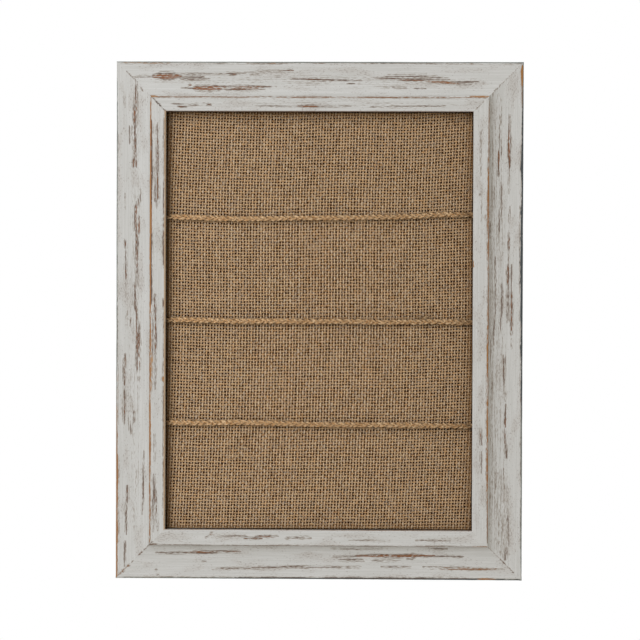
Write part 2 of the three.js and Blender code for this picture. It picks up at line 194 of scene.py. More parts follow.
def grow(name, tree, mesh, values):
    """Runs a tree on a source mesh with these input values, and keeps the result as a plain mesh piece."""
    source = bpy.data.objects.new(name + "_source", mesh)
    scene.collection.objects.link(source)
    modifier = source.modifiers.new(name, "NODES")
    modifier.node_group = tree
    for item in tree.interface.items_tree:
        if item.in_out == "INPUT" and item.name in values:
            modifier[item.identifier] = values[item.name]
    grown = source.evaluated_get(bpy.context.evaluated_depsgraph_get())
    piece = bpy.data.objects.new(name, bpy.data.meshes.new_from_object(grown))
    piece.data.name = name
    bpy.data.objects.remove(source)
    scene.collection.objects.link(piece)
    return piece


def line_mesh(name, points):
    """A mesh of one open line through the points."""
    mesh = bpy.data.meshes.new(name)
    mesh.from_pydata(points.tolist(), [(i, i + 1) for i in range(len(points) - 1)], [])
    return mesh


def dot_mesh(name, points):
    """A mesh of loose points."""
    mesh = bpy.data.meshes.new(name)
    mesh.from_pydata(points.tolist(), [], [])
    return mesh


print("helpers", [helper.__name__ for helper in (new_tree, grow, line_mesh, dot_mesh)])

# %% [markdown]
# ## The shade behind the lip
#
# The cloth and the twine lie deep behind the frame's lip. In the photo they are dusty and dark beside it,
# most of all on the left, and grow dimmer to the right. How dark light alone makes them depends on a
# depth that the photo doesn't show, so part of that shade is laid on as coats of darker colour.

# %% The shade behind the lip
SIGHT_WIDTH = FRAME_WIDTH - 2 * RAIL_WIDTH
SIGHT_HEIGHT = FRAME_HEIGHT - 2 * RAIL_WIDTH
# How far painted shade reaches from the opening's edge, and the width over which it dims the right.
CORNER_SHADE_WIDTH = 0.7
SHADE_WIDTH = 2.8
LEFT_SHADE = 5.8
YARN_DIM = 9.0
TWINE_DIM = 18.0
# Heights over the frame's back: jute is lit on top of a yarn or strand, and gets painted shade down its
# sides.
YARN_TOP = 8.72
YARN_SIDE = 8.3
STRAND_TOP = 11.6
STRAND_SIDE = 10.2


def deep_shade(tree, colour, spot, dark, top, low):
    """Darkens jute between two heights over the frame's back: painted shade, as less light gets down there.
    """
    spot = add_node(tree, "ShaderNodeSeparateXYZ", {0: spot})
    return coat(tree, colour, linear(dark), spot.outputs["Y"], MIDDLE.y - top * MM, MIDDLE.y - low * MM)


def rightward_shade(tree, colour, spot, tint, dim, width):
    """Painted shade for the less light at the right of the opening: a tint that grows all the way, and a dim
    last stretch.
    """
    across = add_node(tree, "ShaderNodeSeparateXYZ", {0: spot}).outputs["X"]
    edge = SIGHT_WIDTH / 2 * MM
    growing = add_node(tree, "ShaderNodeMapRange", {"Value": across, "From Min": -edge, "From Max": edge})
    colour = add_node(tree, "ShaderNodeMix", {
        0: growing, 6: colour, 7: linear(tint)}, data_type="RGBA", blend_type="MULTIPLY").outputs[2]
    return coat(tree, colour, linear(dim), across, edge - width * MM, edge + width * MM)


def left_shade(tree, colour, spot):
    """The lip's shadow painted on the left, where the light comes from, over the first few millimetres."""
    across = add_node(tree, "ShaderNodeSeparateXYZ", {0: spot}).outputs["X"]
    edge = -SIGHT_WIDTH / 2 * MM
    return coat(tree, colour, linear("#3E2A15"), across, edge + LEFT_SHADE * MM, edge - LEFT_SHADE / 4 * MM)


def strand_shade(tree, colour, spot):
    """Painted shade on the twine: between its strands, towards the right, and behind the lip on the left."""
    colour = deep_shade(tree, colour, spot, "#553A20", STRAND_TOP, STRAND_SIDE)
    colour = rightward_shade(tree, colour, spot, "#E7E6E4", "#4A321A", TWINE_DIM)
    return left_shade(tree, colour, spot)


def edge_shade(tree, colour, spot, margin, start, full):
    """A margin along the lip, between two distances past the opening's edge, and a thin line of painted shade
    in the corner.
    """
    spot = add_node(tree, "ShaderNodeVectorMath", {0: spot, 1: -MIDDLE}, operation="ADD")
    spot = add_node(tree, "ShaderNodeVectorMath", {0: spot}, operation="ABSOLUTE")
    spot = add_node(tree, "ShaderNodeVectorMath", {
        0: spot, 1: (SIGHT_WIDTH / 2 * MM, 0, SIGHT_HEIGHT / 2 * MM)}, operation="SUBTRACT")
    spot = add_node(tree, "ShaderNodeSeparateXYZ", {0: spot}).outputs
    past = add_node(tree, "ShaderNodeMath", {0: spot["X"], 1: spot["Z"]}, operation="MAXIMUM")
    colour = coat(tree, colour, linear(margin), past, start * MM, full * MM)
    # The thin dark line is painted shade in the corner between cloth and lip.
    return coat(tree, colour, linear("#38250F"), past, -CORNER_SHADE_WIDTH * MM, -CORNER_SHADE_WIDTH * MM / 3)


def yarn_shade(tree, colour, spot):
    """Painted shade on a woven yarn: down its sides, towards the right of the cloth, and along the frame."""
    colour = deep_shade(tree, colour, spot, "#7A5029", YARN_TOP, YARN_SIDE)
    colour = rightward_shade(tree, colour, spot, "#F3F2F0", "#7E5C38", YARN_DIM)
    colour = left_shade(tree, colour, spot)
    # The darker margin along the lip is painted shade that the lip casts on the cloth.
    return edge_shade(tree, colour, spot, "#5C4124", -SHADE_WIDTH, SHADE_WIDTH)


print("opening", round(SIGHT_WIDTH, 1), "x", round(SIGHT_HEIGHT, 1), "mm")

# %% [markdown]
# ## Jute
#
# Jute is a coarse plant fibre, spun dry and left unbleached. It scatters light softly, has almost no
# gloss, and is never one colour: each yarn and each stretch of a yarn is a little paler, browner or
# ruddier. One brown for all would look like plastic, so the shader reads an attribute called tone, which
# the node trees store on each yarn, and lays a coat of colour for each part of its range. Noise stands
# for the fibres, in the colour and as bump.

# %% Jute materials
FIBRE_WIDTH = 0.12
# Single fibres are too fine to show, so the noise that stands for them is drawn ten times as coarse.
FIBRE_CLUMP = 10 * FIBRE_WIDTH
FIBRE_GLOSS = 0.15
# How much the fibres add to a yarn's tone, and what is taken off so that the sum stays in range.
FIBRE_TONE = 0.9
TONE_BASE = 0.28
# Ruddy places are about this long.
FLUSH_LENGTH = 0.9


def jute_material(name, dark, middle, pale, ruddy, roughness, shade):
    """Spun jute: matt, warm, mottled and ruddy in places, with its own function for the shade."""
    material, tree, shader = new_material(name, roughness)
    shader.inputs["Specular IOR Level"].default_value = FIBRE_GLOSS
    tone = add_node(tree, "ShaderNodeAttribute", attribute_name="tone")
    place_on = add_node(tree, "ShaderNodeTexCoord").outputs["Object"]
    fibre = add_node(tree, "ShaderNodeTexNoise", {
        "Vector": place_on, "Scale": 1 / (FIBRE_CLUMP * MM), "Detail": 4.0})
    mixed = add_node(tree, "ShaderNodeMath", {
        0: fibre, 1: FIBRE_TONE, 2: tone.outputs["Fac"]}, operation="MULTIPLY_ADD")
    mixed = add_node(tree, "ShaderNodeMath", {0: mixed, 1: TONE_BASE}, operation="SUBTRACT")
    colour = coat(tree, linear(dark), linear(middle), mixed, 0.2, 0.55)
    colour = coat(tree, colour, linear(pale), mixed, 0.55, 0.9)
    flush = add_node(tree, "ShaderNodeTexNoise", {
        "Vector": place_on, "Scale": 1 / (FLUSH_LENGTH * MM), "Detail": 2.0})
    colour = coat(tree, colour, linear(ruddy), flush, 0.5, 0.7)
    colour = shade(tree, colour, place_on)
    tree.links.new(colour, shader.inputs["Base Color"])
    bump = add_node(tree, "ShaderNodeBump", {"Strength": 0.4, "Distance": FIBRE_WIDTH * MM, "Height": fibre})
    tree.links.new(bump.outputs["Normal"], shader.inputs["Normal"])
    return material


jute_twine = jute_material("jute_twine", "#7E5933", "#C9A274", "#F0D4AC", "#CD965C", 0.85, strand_shade)
burlap_warp = jute_material("burlap_warp", "#97714A", "#CDB597", "#E5D7C4", "#D0A473", 0.9, yarn_shade)
burlap_weft = jute_material("burlap_weft", "#906A42", "#C7A880", "#E2D0B7", "#C39665", 0.9, yarn_shade)
print("jute materials", jute_twine.name, burlap_warp.name, burlap_weft.name)

# %% [markdown]
# ## The twine
#
# Each line is a flat plait of three jute strands, pulled taut from rail to rail but never quite straight.
# In a plait each strand swings from side to side and passes over or under at each crossing, a third of a
# turn behind the next one. A sine across the twine and one of twice the rate through it gives just that,
# so the node tree copies the line three times and shifts each copy. Each strand is again three plies that
# twist round each other, and both plait and plies are uneven, because the jute is soft and was plaited
# loosely.

# %% The plait
PLY_SECTION = 6
# A ply's least thickness in parts of its radius, and how much the noise adds.
PLY_LEAST = 0.75
PLY_SWELL = 0.5
# The plait's drift changes this many times in a cycle, and a ply's tone over this many millimetres.
DRIFT_RATE = 1.6
TONE_LENGTH = 6.25
# Strands lie this far apart in the noise, so that no two are alike.
STRAND_APART = 3.7


def plait_tree():
    """A plait of twisted strands along a line that runs left to right."""
    tree, given = new_tree("plait", {
        "Strands": "Int", "Cycle": "Float", "Uneven": "Float", "Swing": "Float", "Lift": "Float",
        "Plies": "Int", "Ply turn": "Float", "Ply offset": "Float", "Ply radius": "Float", "Stray": "Float",
        "Stray length": "Float", "Step": "Float", "Seed": "Float", "Material": "Material"})
    # The line in even steps. Each point keeps its distance from the start.
    line = add_node(tree, "GeometryNodeMeshToCurve", {"Mesh": given["Geometry"]})
    line = add_node(tree, "GeometryNodeResampleCurve", {
        "Curve": line, "Length": given["Step"]}, mode="LENGTH")
    length = add_node(tree, "GeometryNodeSplineParameter").outputs["Length"]
    line = add_node(tree, "GeometryNodeStoreNamedAttribute", {
        "Geometry": line, "Name": "run", "Value": length})
    run = add_node(tree, "GeometryNodeInputNamedAttribute", {"Name": "run"})
    # Strands: copies of the line that swing across and lift, each a share of a turn on from the last.
    full_turn = 2 * math.pi
    strands = add_node(tree, "GeometryNodeDuplicateElements", {
        "Geometry": line, "Amount": given["Strands"]}, domain="SPLINE")
    turns = add_node(tree, "ShaderNodeMath", {0: run, 1: given["Cycle"]}, operation="DIVIDE")
    share = add_node(tree, "ShaderNodeMath", {
        0: strands.outputs["Duplicate Index"], 1: given["Strands"]}, operation="DIVIDE")
    where = add_node(tree, "ShaderNodeCombineXYZ", {"X": turns, "Z": given["Seed"]})
    drift = add_node(tree, "ShaderNodeTexNoise", {"Vector": where, "Scale": DRIFT_RATE, "Detail": 1.0})
    drift = add_node(tree, "ShaderNodeMath", {
        0: drift, 1: given["Uneven"], 2: share}, operation="MULTIPLY_ADD")
    turns = add_node(tree, "ShaderNodeMath", {0: turns, 1: drift}, operation="ADD")
    phase = add_node(tree, "ShaderNodeMath", {0: turns, 1: full_turn}, operation="MULTIPLY")
    swing = add_node(tree, "ShaderNodeMath", {0: phase}, operation="SINE")
    swing = add_node(tree, "ShaderNodeMath", {0: swing, 1: given["Swing"]}, operation="MULTIPLY")
    double = add_node(tree, "ShaderNodeMath", {0: phase, 1: 2.0}, operation="MULTIPLY")
    lift = add_node(tree, "ShaderNodeMath", {0: double}, operation="SINE")
    lift = add_node(tree, "ShaderNodeMath", {0: lift, 1: given["Lift"]}, operation="MULTIPLY")
    offset = add_node(tree, "ShaderNodeCombineXYZ", {"Y": lift, "Z": swing})
    woven = add_node(tree, "GeometryNodeSetPosition", {"Geometry": strands, "Offset": offset})
    woven = add_node(tree, "GeometryNodeStoreNamedAttribute", {
        "Geometry": woven, "Name": "strand", "Value": strands.outputs["Duplicate Index"]})
    strand = add_node(tree, "GeometryNodeInputNamedAttribute", {"Name": "strand"})
    # Plies: copies of each strand that twist round it.
    plies = add_node(tree, "GeometryNodeDuplicateElements", {
        "Geometry": woven, "Amount": given["Plies"]}, domain="SPLINE")
    twist = add_node(tree, "ShaderNodeMath", {0: run, 1: given["Ply turn"]}, operation="DIVIDE")
    ply_share = add_node(
        tree, "ShaderNodeMath", {0: plies.outputs["Duplicate Index"], 1: given["Plies"]}, operation="DIVIDE")
    twist = add_node(tree, "ShaderNodeMath", {0: twist, 1: ply_share}, operation="ADD")
    twist = add_node(tree, "ShaderNodeMath", {0: twist, 1: full_turn}, operation="MULTIPLY")
    back = add_node(tree, "ShaderNodeMath", {0: twist}, operation="COSINE")
    back = add_node(tree, "ShaderNodeMath", {0: back, 1: given["Ply offset"]}, operation="MULTIPLY")
    side = add_node(tree, "ShaderNodeMath", {0: twist}, operation="SINE")
    side = add_node(tree, "ShaderNodeMath", {0: side, 1: given["Ply offset"]}, operation="MULTIPLY")
    offset = add_node(tree, "ShaderNodeCombineXYZ", {"Y": back, "Z": side})
    twisted = add_node(tree, "GeometryNodeSetPosition", {"Geometry": plies, "Offset": offset})
    # Noise along each ply gives its tone and its thickness, and makes it stray.
    which = add_node(tree, "ShaderNodeMath", {
        0: strand, 1: STRAND_APART, 2: plies.outputs["Duplicate Index"]}, operation="MULTIPLY_ADD")
    along = add_node(tree, "ShaderNodeMath", {0: run, 1: 1 / (TONE_LENGTH * MM)}, operation="MULTIPLY")
    where = add_node(tree, "ShaderNodeCombineXYZ", {"X": along, "Y": which, "Z": given["Seed"]})
    noise = add_node(tree, "ShaderNodeTexNoise", {"Vector": where, "Scale": 1.0, "Detail": 2.0})
    toned = add_node(tree, "GeometryNodeStoreNamedAttribute", {
        "Geometry": twisted, "Name": "tone", "Value": noise})
    far = add_node(tree, "ShaderNodeMath", {0: run, 1: given["Stray length"]}, operation="DIVIDE")
    where = add_node(tree, "ShaderNodeCombineXYZ", {"X": far, "Y": which, "Z": given["Seed"]})
    stray = add_node(tree, "ShaderNodeTexNoise", {"Vector": where, "Scale": 1.0, "Detail": 2.0})
    stray = add_node(
        tree, "ShaderNodeVectorMath", {0: stray.outputs["Color"], 1: (0.5, 0.5, 0.5)}, operation="SUBTRACT")
    stray = add_node(tree, "ShaderNodeVectorMath", {0: stray, "Scale": given["Stray"]}, operation="SCALE")
    toned = add_node(tree, "GeometryNodeSetPosition", {"Geometry": toned, "Offset": stray})
    thickness = add_node(
        tree, "ShaderNodeMath", {0: noise, 1: PLY_SWELL, 2: PLY_LEAST}, operation="MULTIPLY_ADD")
    # A tube along each ply.
    section = add_node(tree, "GeometryNodeCurvePrimitiveCircle", {
        "Resolution": PLY_SECTION, "Radius": given["Ply radius"]})
    yarn = add_node(tree, "GeometryNodeCurveToMesh", {
        "Curve": toned, "Profile Curve": section, "Scale": thickness, "Fill Caps": True})
    solid = add_node(tree, "GeometryNodeRealizeInstances", {"Geometry": yarn})
    coloured = add_node(tree, "GeometryNodeSetMaterial", {"Geometry": solid, "Material": given["Material"]})
    add_node(tree, "NodeGroupOutput", {"Geometry": coloured})
    return tree


plait = plait_tree()
print(plait.name, len(plait.nodes), "nodes")

# %% [markdown]
# ## Loose fibres
#
# Jute sheds: short ends stick out of every yarn and catch the light. Each fibre is one bent line a few
# millimetres long. The tree puts a copy on each given point, turns and scales it at random, and gives it
# a thin three-sided section. A real fibre is 0.02 to 0.1 mm thick and would hardly show, so these are
# drawn at 0.12 mm.

# %% Loose fibres
FIBRE_RADIUS = FIBRE_WIDTH / 2
FIBRE_BOW = 0.5
# The least and the most that a fibre is scaled by.
SHORTEST = 0.45
LONGEST = 1.4
# Fibres are a little paler than the yarn they come from, and their tone changes over this many millimetres.
FIBRE_PALER = 0.15
TONE_SPOT = 2.5


def fibre_tree():
    """Bent single fibres on points, turned at random."""
    tree, given = new_tree("loose_fibres", {
        "Length": "Float", "Bow": "Float", "Radius": "Float", "Least turn": "Vector", "Most turn": "Vector",
        "Seed": "Int", "Material": "Material"})
    points = add_node(tree, "GeometryNodeMeshToPoints", {"Mesh": given["Geometry"]})
    half = add_node(tree, "ShaderNodeMath", {0: given["Length"], 1: 0.5}, operation="MULTIPLY")
    other = add_node(tree, "ShaderNodeMath", {0: given["Length"], 1: -0.5}, operation="MULTIPLY")
    front = add_node(tree, "ShaderNodeMath", {0: given["Bow"], 1: -1.0}, operation="MULTIPLY")
    fibre = add_node(tree, "GeometryNodeCurveQuadraticBezier", {
        "Resolution": 5,
        "Start": add_node(tree, "ShaderNodeCombineXYZ", {"X": other}),
        "Middle": add_node(tree, "ShaderNodeCombineXYZ", {"Y": front, "Z": half}),
        "End": add_node(tree, "ShaderNodeCombineXYZ", {"X": half})})
    turn = add_node(tree, "FunctionNodeRandomValue", {
        0: given["Least turn"], 1: given["Most turn"], "Seed": given["Seed"]}, data_type="FLOAT_VECTOR")
    size = add_node(tree, "FunctionNodeRandomValue", {
        2: SHORTEST, 3: LONGEST, "Seed": given["Seed"]}, data_type="FLOAT")
    section = add_node(tree, "GeometryNodeCurvePrimitiveCircle", {"Resolution": 3, "Radius": given["Radius"]})
    hair = add_node(tree, "GeometryNodeCurveToMesh", {
        "Curve": fibre, "Profile Curve": section, "Fill Caps": True})
    copies = add_node(tree, "GeometryNodeInstanceOnPoints", {
        "Points": points, "Instance": hair, "Rotation": turn, "Scale": size.outputs[1]})
    solid = add_node(tree, "GeometryNodeRealizeInstances", {"Geometry": copies})
    spot = add_node(tree, "GeometryNodeInputPosition")
    noise = add_node(tree, "ShaderNodeTexNoise", {"Vector": spot, "Scale": 1 / (TONE_SPOT * MM)})
    tone = add_node(tree, "ShaderNodeMath", {0: noise, 1: FIBRE_PALER}, operation="ADD")
    toned = add_node(tree, "GeometryNodeStoreNamedAttribute", {
        "Geometry": solid, "Name": "tone", "Value": tone})
    coloured = add_node(tree, "GeometryNodeSetMaterial", {"Geometry": toned, "Material": given["Material"]})
    add_node(tree, "NodeGroupOutput", {"Geometry": coloured})
    return tree


def fibre_sizes(length, turn, seed, material):
    """Input values for loose fibres of this length, each turned at random by up to these angles."""
    least = tuple(-angle for angle in turn)
    return {
        "Length": length * MM, "Bow": FIBRE_BOW * MM, "Radius": FIBRE_RADIUS * MM, "Least turn": least,
        "Most turn": turn, "Seed": seed, "Material": material}


loose_fibres = fibre_tree()
print(loose_fibres.name, len(loose_fibres.nodes), "nodes")

# %% [markdown]
# Each line follows its own slightly wandering route, read from the photo, with loose fibres all along. A
# straight line would look ruled.

# %% The routes of the three lines
TWINE_FORWARD = 10.8
TWINE_REACH = 111.5
ROUTE_POINTS = 161
TWINE_LEVEL = {"twine_upper": 71.7, "twine_middle": 0.0, "twine_lower": -71.7}
# Millimetres above the level line, at even steps from the left end to the right end.
TWINE_WANDER = {
    "twine_upper": (
        -0.4, -0.7, -1.15, -1.65, -1.9, -1.75, -1.45, -1.1, -1.05,
        -0.95, -0.6, -0.3, -0.1, 0.6, 1.5, 1.3, 1.1),
    "twine_middle": (
        0.1, 0.3, 0.05, -0.35, -0.55, -0.45, -0.5, -0.65, -0.5,
        -0.4, -0.55, -0.75, -0.7, -0.5, -0.4, -0.8, -0.85),
    "twine_lower": (
        1.55, 1.35, 1.1, 1.3, 1.5, 1.3, 1.0, 0.75, 0.4,
        0.2, 0.2, 0.3, 0.2, 0.1, 0, -0.25, -0.25),
}


def smooth_line(values, samples):
    """A smooth line through evenly spaced values, the way a Catmull-Rom spline passes through its points."""
    values = np.asarray(values, float)
    ends = np.concatenate([[2 * values[0] - values[1]], values, [2 * values[-1] - values[-2]]])
    along = np.linspace(0, len(values) - 1, samples)
    i = np.minimum(along.astype(int), len(values) - 2)
    t = along - i
    a, b, c, d = (ends[i + k] for k in range(4))
    return b + 0.5 * t * (c - a + t * (2 * a - 5 * b + 4 * c - d + t * (3 * (b - c) + d - a)))


routes = {}
for name, level in TWINE_LEVEL.items():
    height = level + smooth_line(TWINE_WANDER[name], ROUTE_POINTS)
    routes[name] = place(np.linspace(-TWINE_REACH, TWINE_REACH, ROUTE_POINTS), TWINE_FORWARD, height)
    print(name, "wanders over", round(float(np.ptp(height)), 1), "mm")

# %% The three lines
PLAIT_CYCLE = 13.4
PLAIT_SWING = 1.1
PLAIT_LIFT = 0.6
PLAIT_UNEVEN = 0.5
PLY_TURN = 5.2
PLY_OFFSET = 0.42
PLY_RADIUS = 0.36
PLY_STRAY = 0.95
STRAY_LENGTH = 2.6
TWINE_STEP = 0.45
STRANDS = 3
PLIES = 3
plait_sizes = {
    "Strands": STRANDS, "Cycle": PLAIT_CYCLE * MM, "Uneven": PLAIT_UNEVEN, "Swing": PLAIT_SWING * MM,
    "Lift": PLAIT_LIFT * MM, "Plies": PLIES, "Ply turn": PLY_TURN * MM, "Ply offset": PLY_OFFSET * MM,
    "Ply radius": PLY_RADIUS * MM, "Stray": PLY_STRAY * MM, "Stray length": STRAY_LENGTH * MM,
    "Step": TWINE_STEP * MM, "Material": jute_twine}
# The first of three seeds for the plaits, for where fibres are, and for how they turn.
PLAIT_SEED = 5.0
SPOT_SEED = 40
TURN_SEED = 11
HAIR_COUNT = 1100
HAIR_SPREAD = np.array([0.5, 1.3, 1.4]) * MM
HAIR_LENGTH = 4.0
HAIR_TURN = (math.pi, 0.5, 0.4)
# No fibre starts within this many points of a route's ends, which lie behind the lip.
BARE_POINTS = 6
# One tuft of fibres has worked loose on the middle line.
TUFT_ON = "twine_middle"
TUFT_PLACE = (72.0, 11.0, 2.3)
TUFT_COUNT = 60
TUFT_SPREAD = np.array([1.9, 0.4, 0.8]) * MM
for number, (name, route) in enumerate(routes.items()):
    sizes = {**plait_sizes, "Seed": PLAIT_SEED + number}
    twine = grow(name + "_plait", plait, line_mesh(name + "_line", route), sizes)
    draw = np.random.default_rng(SPOT_SEED + number)
    spots = route[draw.integers(BARE_POINTS, ROUTE_POINTS - BARE_POINTS, HAIR_COUNT)]
    spots = spots + draw.uniform(-1, 1, (HAIR_COUNT, 3)) * HAIR_SPREAD
    if name == TUFT_ON:
        tuft = place(*TUFT_PLACE) + draw.normal(0, 1, (TUFT_COUNT, 3)) * TUFT_SPREAD
        spots = np.concatenate([spots, tuft])
    sizes = fibre_sizes(HAIR_LENGTH, HAIR_TURN, TURN_SEED + number, jute_twine)
    fibres = grow(name + "_fibres", loose_fibres, dot_mesh(name + "_spots", spots), sizes)
    settle(twine, "board", "jute_twine", name)
    settle(fibres, "board", "jute_twine")
    length = float(np.linalg.norm(np.diff(route, axis=0), axis=1).sum())
    print(twine.name, len(twine.data.polygons), "faces,", round(length / MM, 1), "mm long")

# %% [markdown]
# ## The burlap
#
# Burlap is a plain weave of thick jute yarns with open holes, about 12 to the inch. A bump map can't give
# holes, or the way each yarn rolls over the next, so every yarn is a tube of its own. One tree makes a
# row of yarns that run along X and wave over and under: the wave is a cosine that flips from yarn to
# yarn, so the warp and the weft fit into each other. Noise along each yarn makes it wander, swell into
# slubs and change its tone.

# %% A row of woven yarns
YARN_SECTION = 5
# Yarns lie this far apart in the noise, so that no two are alike.
YARN_APART = 7.31
# What the noise along a yarn, and one draw for the whole yarn, add to its wander, its thickness and its tone.
WANDER_NOISE, WANDER_DRAW = 4.0, 0.4
SWELL_LEAST, SWELL_NOISE, SWELL_DRAW = 0.2, 1.6, 0.05
TONE_LEAST, TONE_NOISE, TONE_DRAW = 0.13, 0.4, 0.03


def weave_tree():
    """A row of yarns along X, spaced along Y, that wave through Z."""
    tree, given = new_tree("woven_yarns", {
        "Yarns": "Int", "First": "Int", "Spacing": "Float", "Crossings": "Int", "Crossing spacing": "Float",
        "Radius": "Float", "Flatness": "Float", "Wave": "Float", "Wander": "Float", "Slub length": "Float",
        "Seed": "Int", "Material": "Material"})
    # Where the yarns start, and straight yarns with two steps for each crossing.
    first = add_node(tree, "ShaderNodeMath", {0: given["First"], 1: 0.5}, operation="ADD")
    first = add_node(tree, "ShaderNodeMath", {0: first, 1: given["Spacing"]}, operation="MULTIPLY")
    starts = add_node(tree, "GeometryNodeMeshLine", {
        "Count": given["Yarns"], "Start Location": add_node(tree, "ShaderNodeCombineXYZ", {"Y": first}),
        "Offset": add_node(tree, "ShaderNodeCombineXYZ", {"Y": given["Spacing"]})})
    length = add_node(
        tree, "ShaderNodeMath", {0: given["Crossings"], 1: given["Crossing spacing"]}, operation="MULTIPLY")
    straight = add_node(tree, "GeometryNodeCurvePrimitiveLine", {
        "Start": (0, 0, 0), "End": add_node(tree, "ShaderNodeCombineXYZ", {"X": length})})
    count = add_node(
        tree, "ShaderNodeMath", {0: given["Crossings"], 1: 2.0, 2: 1.0}, operation="MULTIPLY_ADD")
    straight = add_node(tree, "GeometryNodeResampleCurve", {"Curve": straight, "Count": count}, mode="COUNT")
    copies = add_node(tree, "GeometryNodeInstanceOnPoints", {"Points": starts, "Instance": straight})
    rows = add_node(tree, "GeometryNodeRealizeInstances", {"Geometry": copies})
    # The wave: over one crossing and under the next, and the other way round on the next yarn.
    spot = add_node(tree, "ShaderNodeSeparateXYZ", {0: add_node(tree, "GeometryNodeInputPosition")})
    yarn = add_node(tree, "ShaderNodeMath", {0: spot.outputs["Y"], 1: given["Spacing"]}, operation="DIVIDE")
    yarn = add_node(tree, "ShaderNodeMath", {0: yarn}, operation="FLOOR")
    crossing = add_node(
        tree, "ShaderNodeMath", {0: spot.outputs["X"], 1: given["Crossing spacing"]}, operation="DIVIDE")
    crossing = add_node(tree, "ShaderNodeMath", {0: crossing, 1: 0.5}, operation="SUBTRACT")
    angle = add_node(tree, "ShaderNodeMath", {0: crossing, 1: yarn}, operation="ADD")
    angle = add_node(tree, "ShaderNodeMath", {0: angle, 1: math.pi}, operation="MULTIPLY")
    wave = add_node(tree, "ShaderNodeMath", {0: angle}, operation="COSINE")
    wave = add_node(tree, "ShaderNodeMath", {0: wave, 1: given["Wave"]}, operation="MULTIPLY")
    # What is uneven: one draw for each yarn, and noise along it.
    draw = add_node(tree, "FunctionNodeRandomValue", {
        2: -1.0, 3: 1.0, "ID": yarn, "Seed": given["Seed"]}, data_type="FLOAT").outputs[1]
    along = add_node(
        tree, "ShaderNodeMath", {0: spot.outputs["X"], 1: given["Slub length"]}, operation="DIVIDE")
    apart = add_node(tree, "ShaderNodeMath", {0: yarn, 1: YARN_APART}, operation="MULTIPLY")
    where = add_node(tree, "ShaderNodeCombineXYZ", {"X": along, "Y": apart, "Z": given["Seed"]})
    noise = add_node(tree, "ShaderNodeTexNoise", {"Vector": where, "Scale": 1.0, "Detail": 2.0})
    uneven = add_node(tree, "ShaderNodeSeparateXYZ", {0: noise.outputs["Color"]})
    amounts = []
    for axis, least, noisy, drawn in (
            ("X", -WANDER_NOISE / 2, WANDER_NOISE, WANDER_DRAW), ("Y", SWELL_LEAST, SWELL_NOISE, SWELL_DRAW),
            ("Z", TONE_LEAST, TONE_NOISE, TONE_DRAW)):
        amount = add_node(
            tree, "ShaderNodeMath", {0: uneven.outputs[axis], 1: noisy, 2: least}, operation="MULTIPLY_ADD")
        amount = add_node(tree, "ShaderNodeMath", {0: draw, 1: drawn, 2: amount}, operation="MULTIPLY_ADD")
        amounts.append(amount)
    drift, swell, tone = amounts
    drift = add_node(tree, "ShaderNodeMath", {0: drift, 1: given["Wander"]}, operation="MULTIPLY")
    # The yarns take their tone and wave, and become tubes that are pressed flat.
    toned = add_node(tree, "GeometryNodeStoreNamedAttribute", {
        "Geometry": rows, "Name": "tone", "Value": tone})
    offset = add_node(tree, "ShaderNodeCombineXYZ", {"Y": drift, "Z": wave})
    waved = add_node(tree, "GeometryNodeSetPosition", {"Geometry": toned, "Offset": offset})
    section = add_node(
        tree, "GeometryNodeCurvePrimitiveCircle", {"Resolution": YARN_SECTION, "Radius": given["Radius"]})
    tubes = add_node(tree, "GeometryNodeCurveToMesh", {
        "Curve": waved, "Profile Curve": section, "Scale": swell, "Fill Caps": True})
    flat = add_node(tree, "ShaderNodeCombineXYZ", {"X": 1.0, "Y": 1.0, "Z": given["Flatness"]})
    pressed = add_node(tree, "GeometryNodeTransform", {"Geometry": tubes, "Scale": flat})
    solid = add_node(tree, "GeometryNodeRealizeInstances", {"Geometry": pressed})
    coloured = add_node(tree, "GeometryNodeSetMaterial", {"Geometry": solid, "Material": given["Material"]})
    add_node(tree, "NodeGroupOutput", {"Geometry": coloured})
    return tree


woven_yarns = weave_tree()
print(woven_yarns.name, len(woven_yarns.nodes), "nodes")

# %% [markdown]
# ## The cloth on its board
#
# Under the yarns lies a thin ground layer, wrapped round the stiff core with a hem on the back. It closes
# the cloth, gives the holes their dark brown, which is painted shade, and carries the cloth's real cut
# size. It is a strip of rounded rectangles, one for each bend of the cloth, made into a sheet by Solidify.

# %% The ground layer
HEM_WIDTH = 22.0
GROUND_THICKNESS = 0.4
GROUND_FRONT = 7.75
GROUND_BACK = 4.0
CLOTH_CORNER = 1.5


def rounded_loop(half_width, half_height, radius, steps=4):
    """The outline of a rectangle with rounded corners, as (across, up) points."""
    points = []
    for quarter, (side, end) in enumerate(((1, 1), (-1, 1), (-1, -1), (1, -1))):
        for step in range(steps + 1):
            angle = math.pi / 2 * (quarter + step / steps)
            points.append((side * (half_width - radius) + radius * math.cos(angle),
                           end * (half_height - radius) + radius * math.sin(angle)))
    return np.array(points)


def loft(name, loops):
    """A mesh through loops of equal count, each an array of points, with the last loop filled."""
    count = len(loops[0])
    mesh = bmesh.new()
    rings = [[mesh.verts.new(point) for point in loop] for loop in loops]
    for lower, upper in zip(rings, rings[1:]):
        for i in range(count):
            j = (i + 1) % count
            mesh.faces.new((lower[i], lower[j], upper[j], upper[i]))
    mesh.faces.new(rings[-1])
    bmesh.ops.recalc_face_normals(mesh, faces=mesh.faces)
    data = bpy.data.meshes.new(name)
    mesh.to_mesh(data)
    mesh.free()
    piece = bpy.data.objects.new(name, data)
    scene.collection.objects.link(piece)
    return piece


def freeze(piece):
    """Turns a piece's modifiers into plain mesh."""
    done = bpy.data.meshes.new_from_object(piece.evaluated_get(bpy.context.evaluated_depsgraph_get()))
    piece.modifiers.clear()
    piece.data = done


cloth_low, cloth_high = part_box("burlap_cloth")
CLOTH_WIDTH = (cloth_high.x - cloth_low.x) / MM
CLOTH_HEIGHT = (cloth_high.z - cloth_low.z) / MM
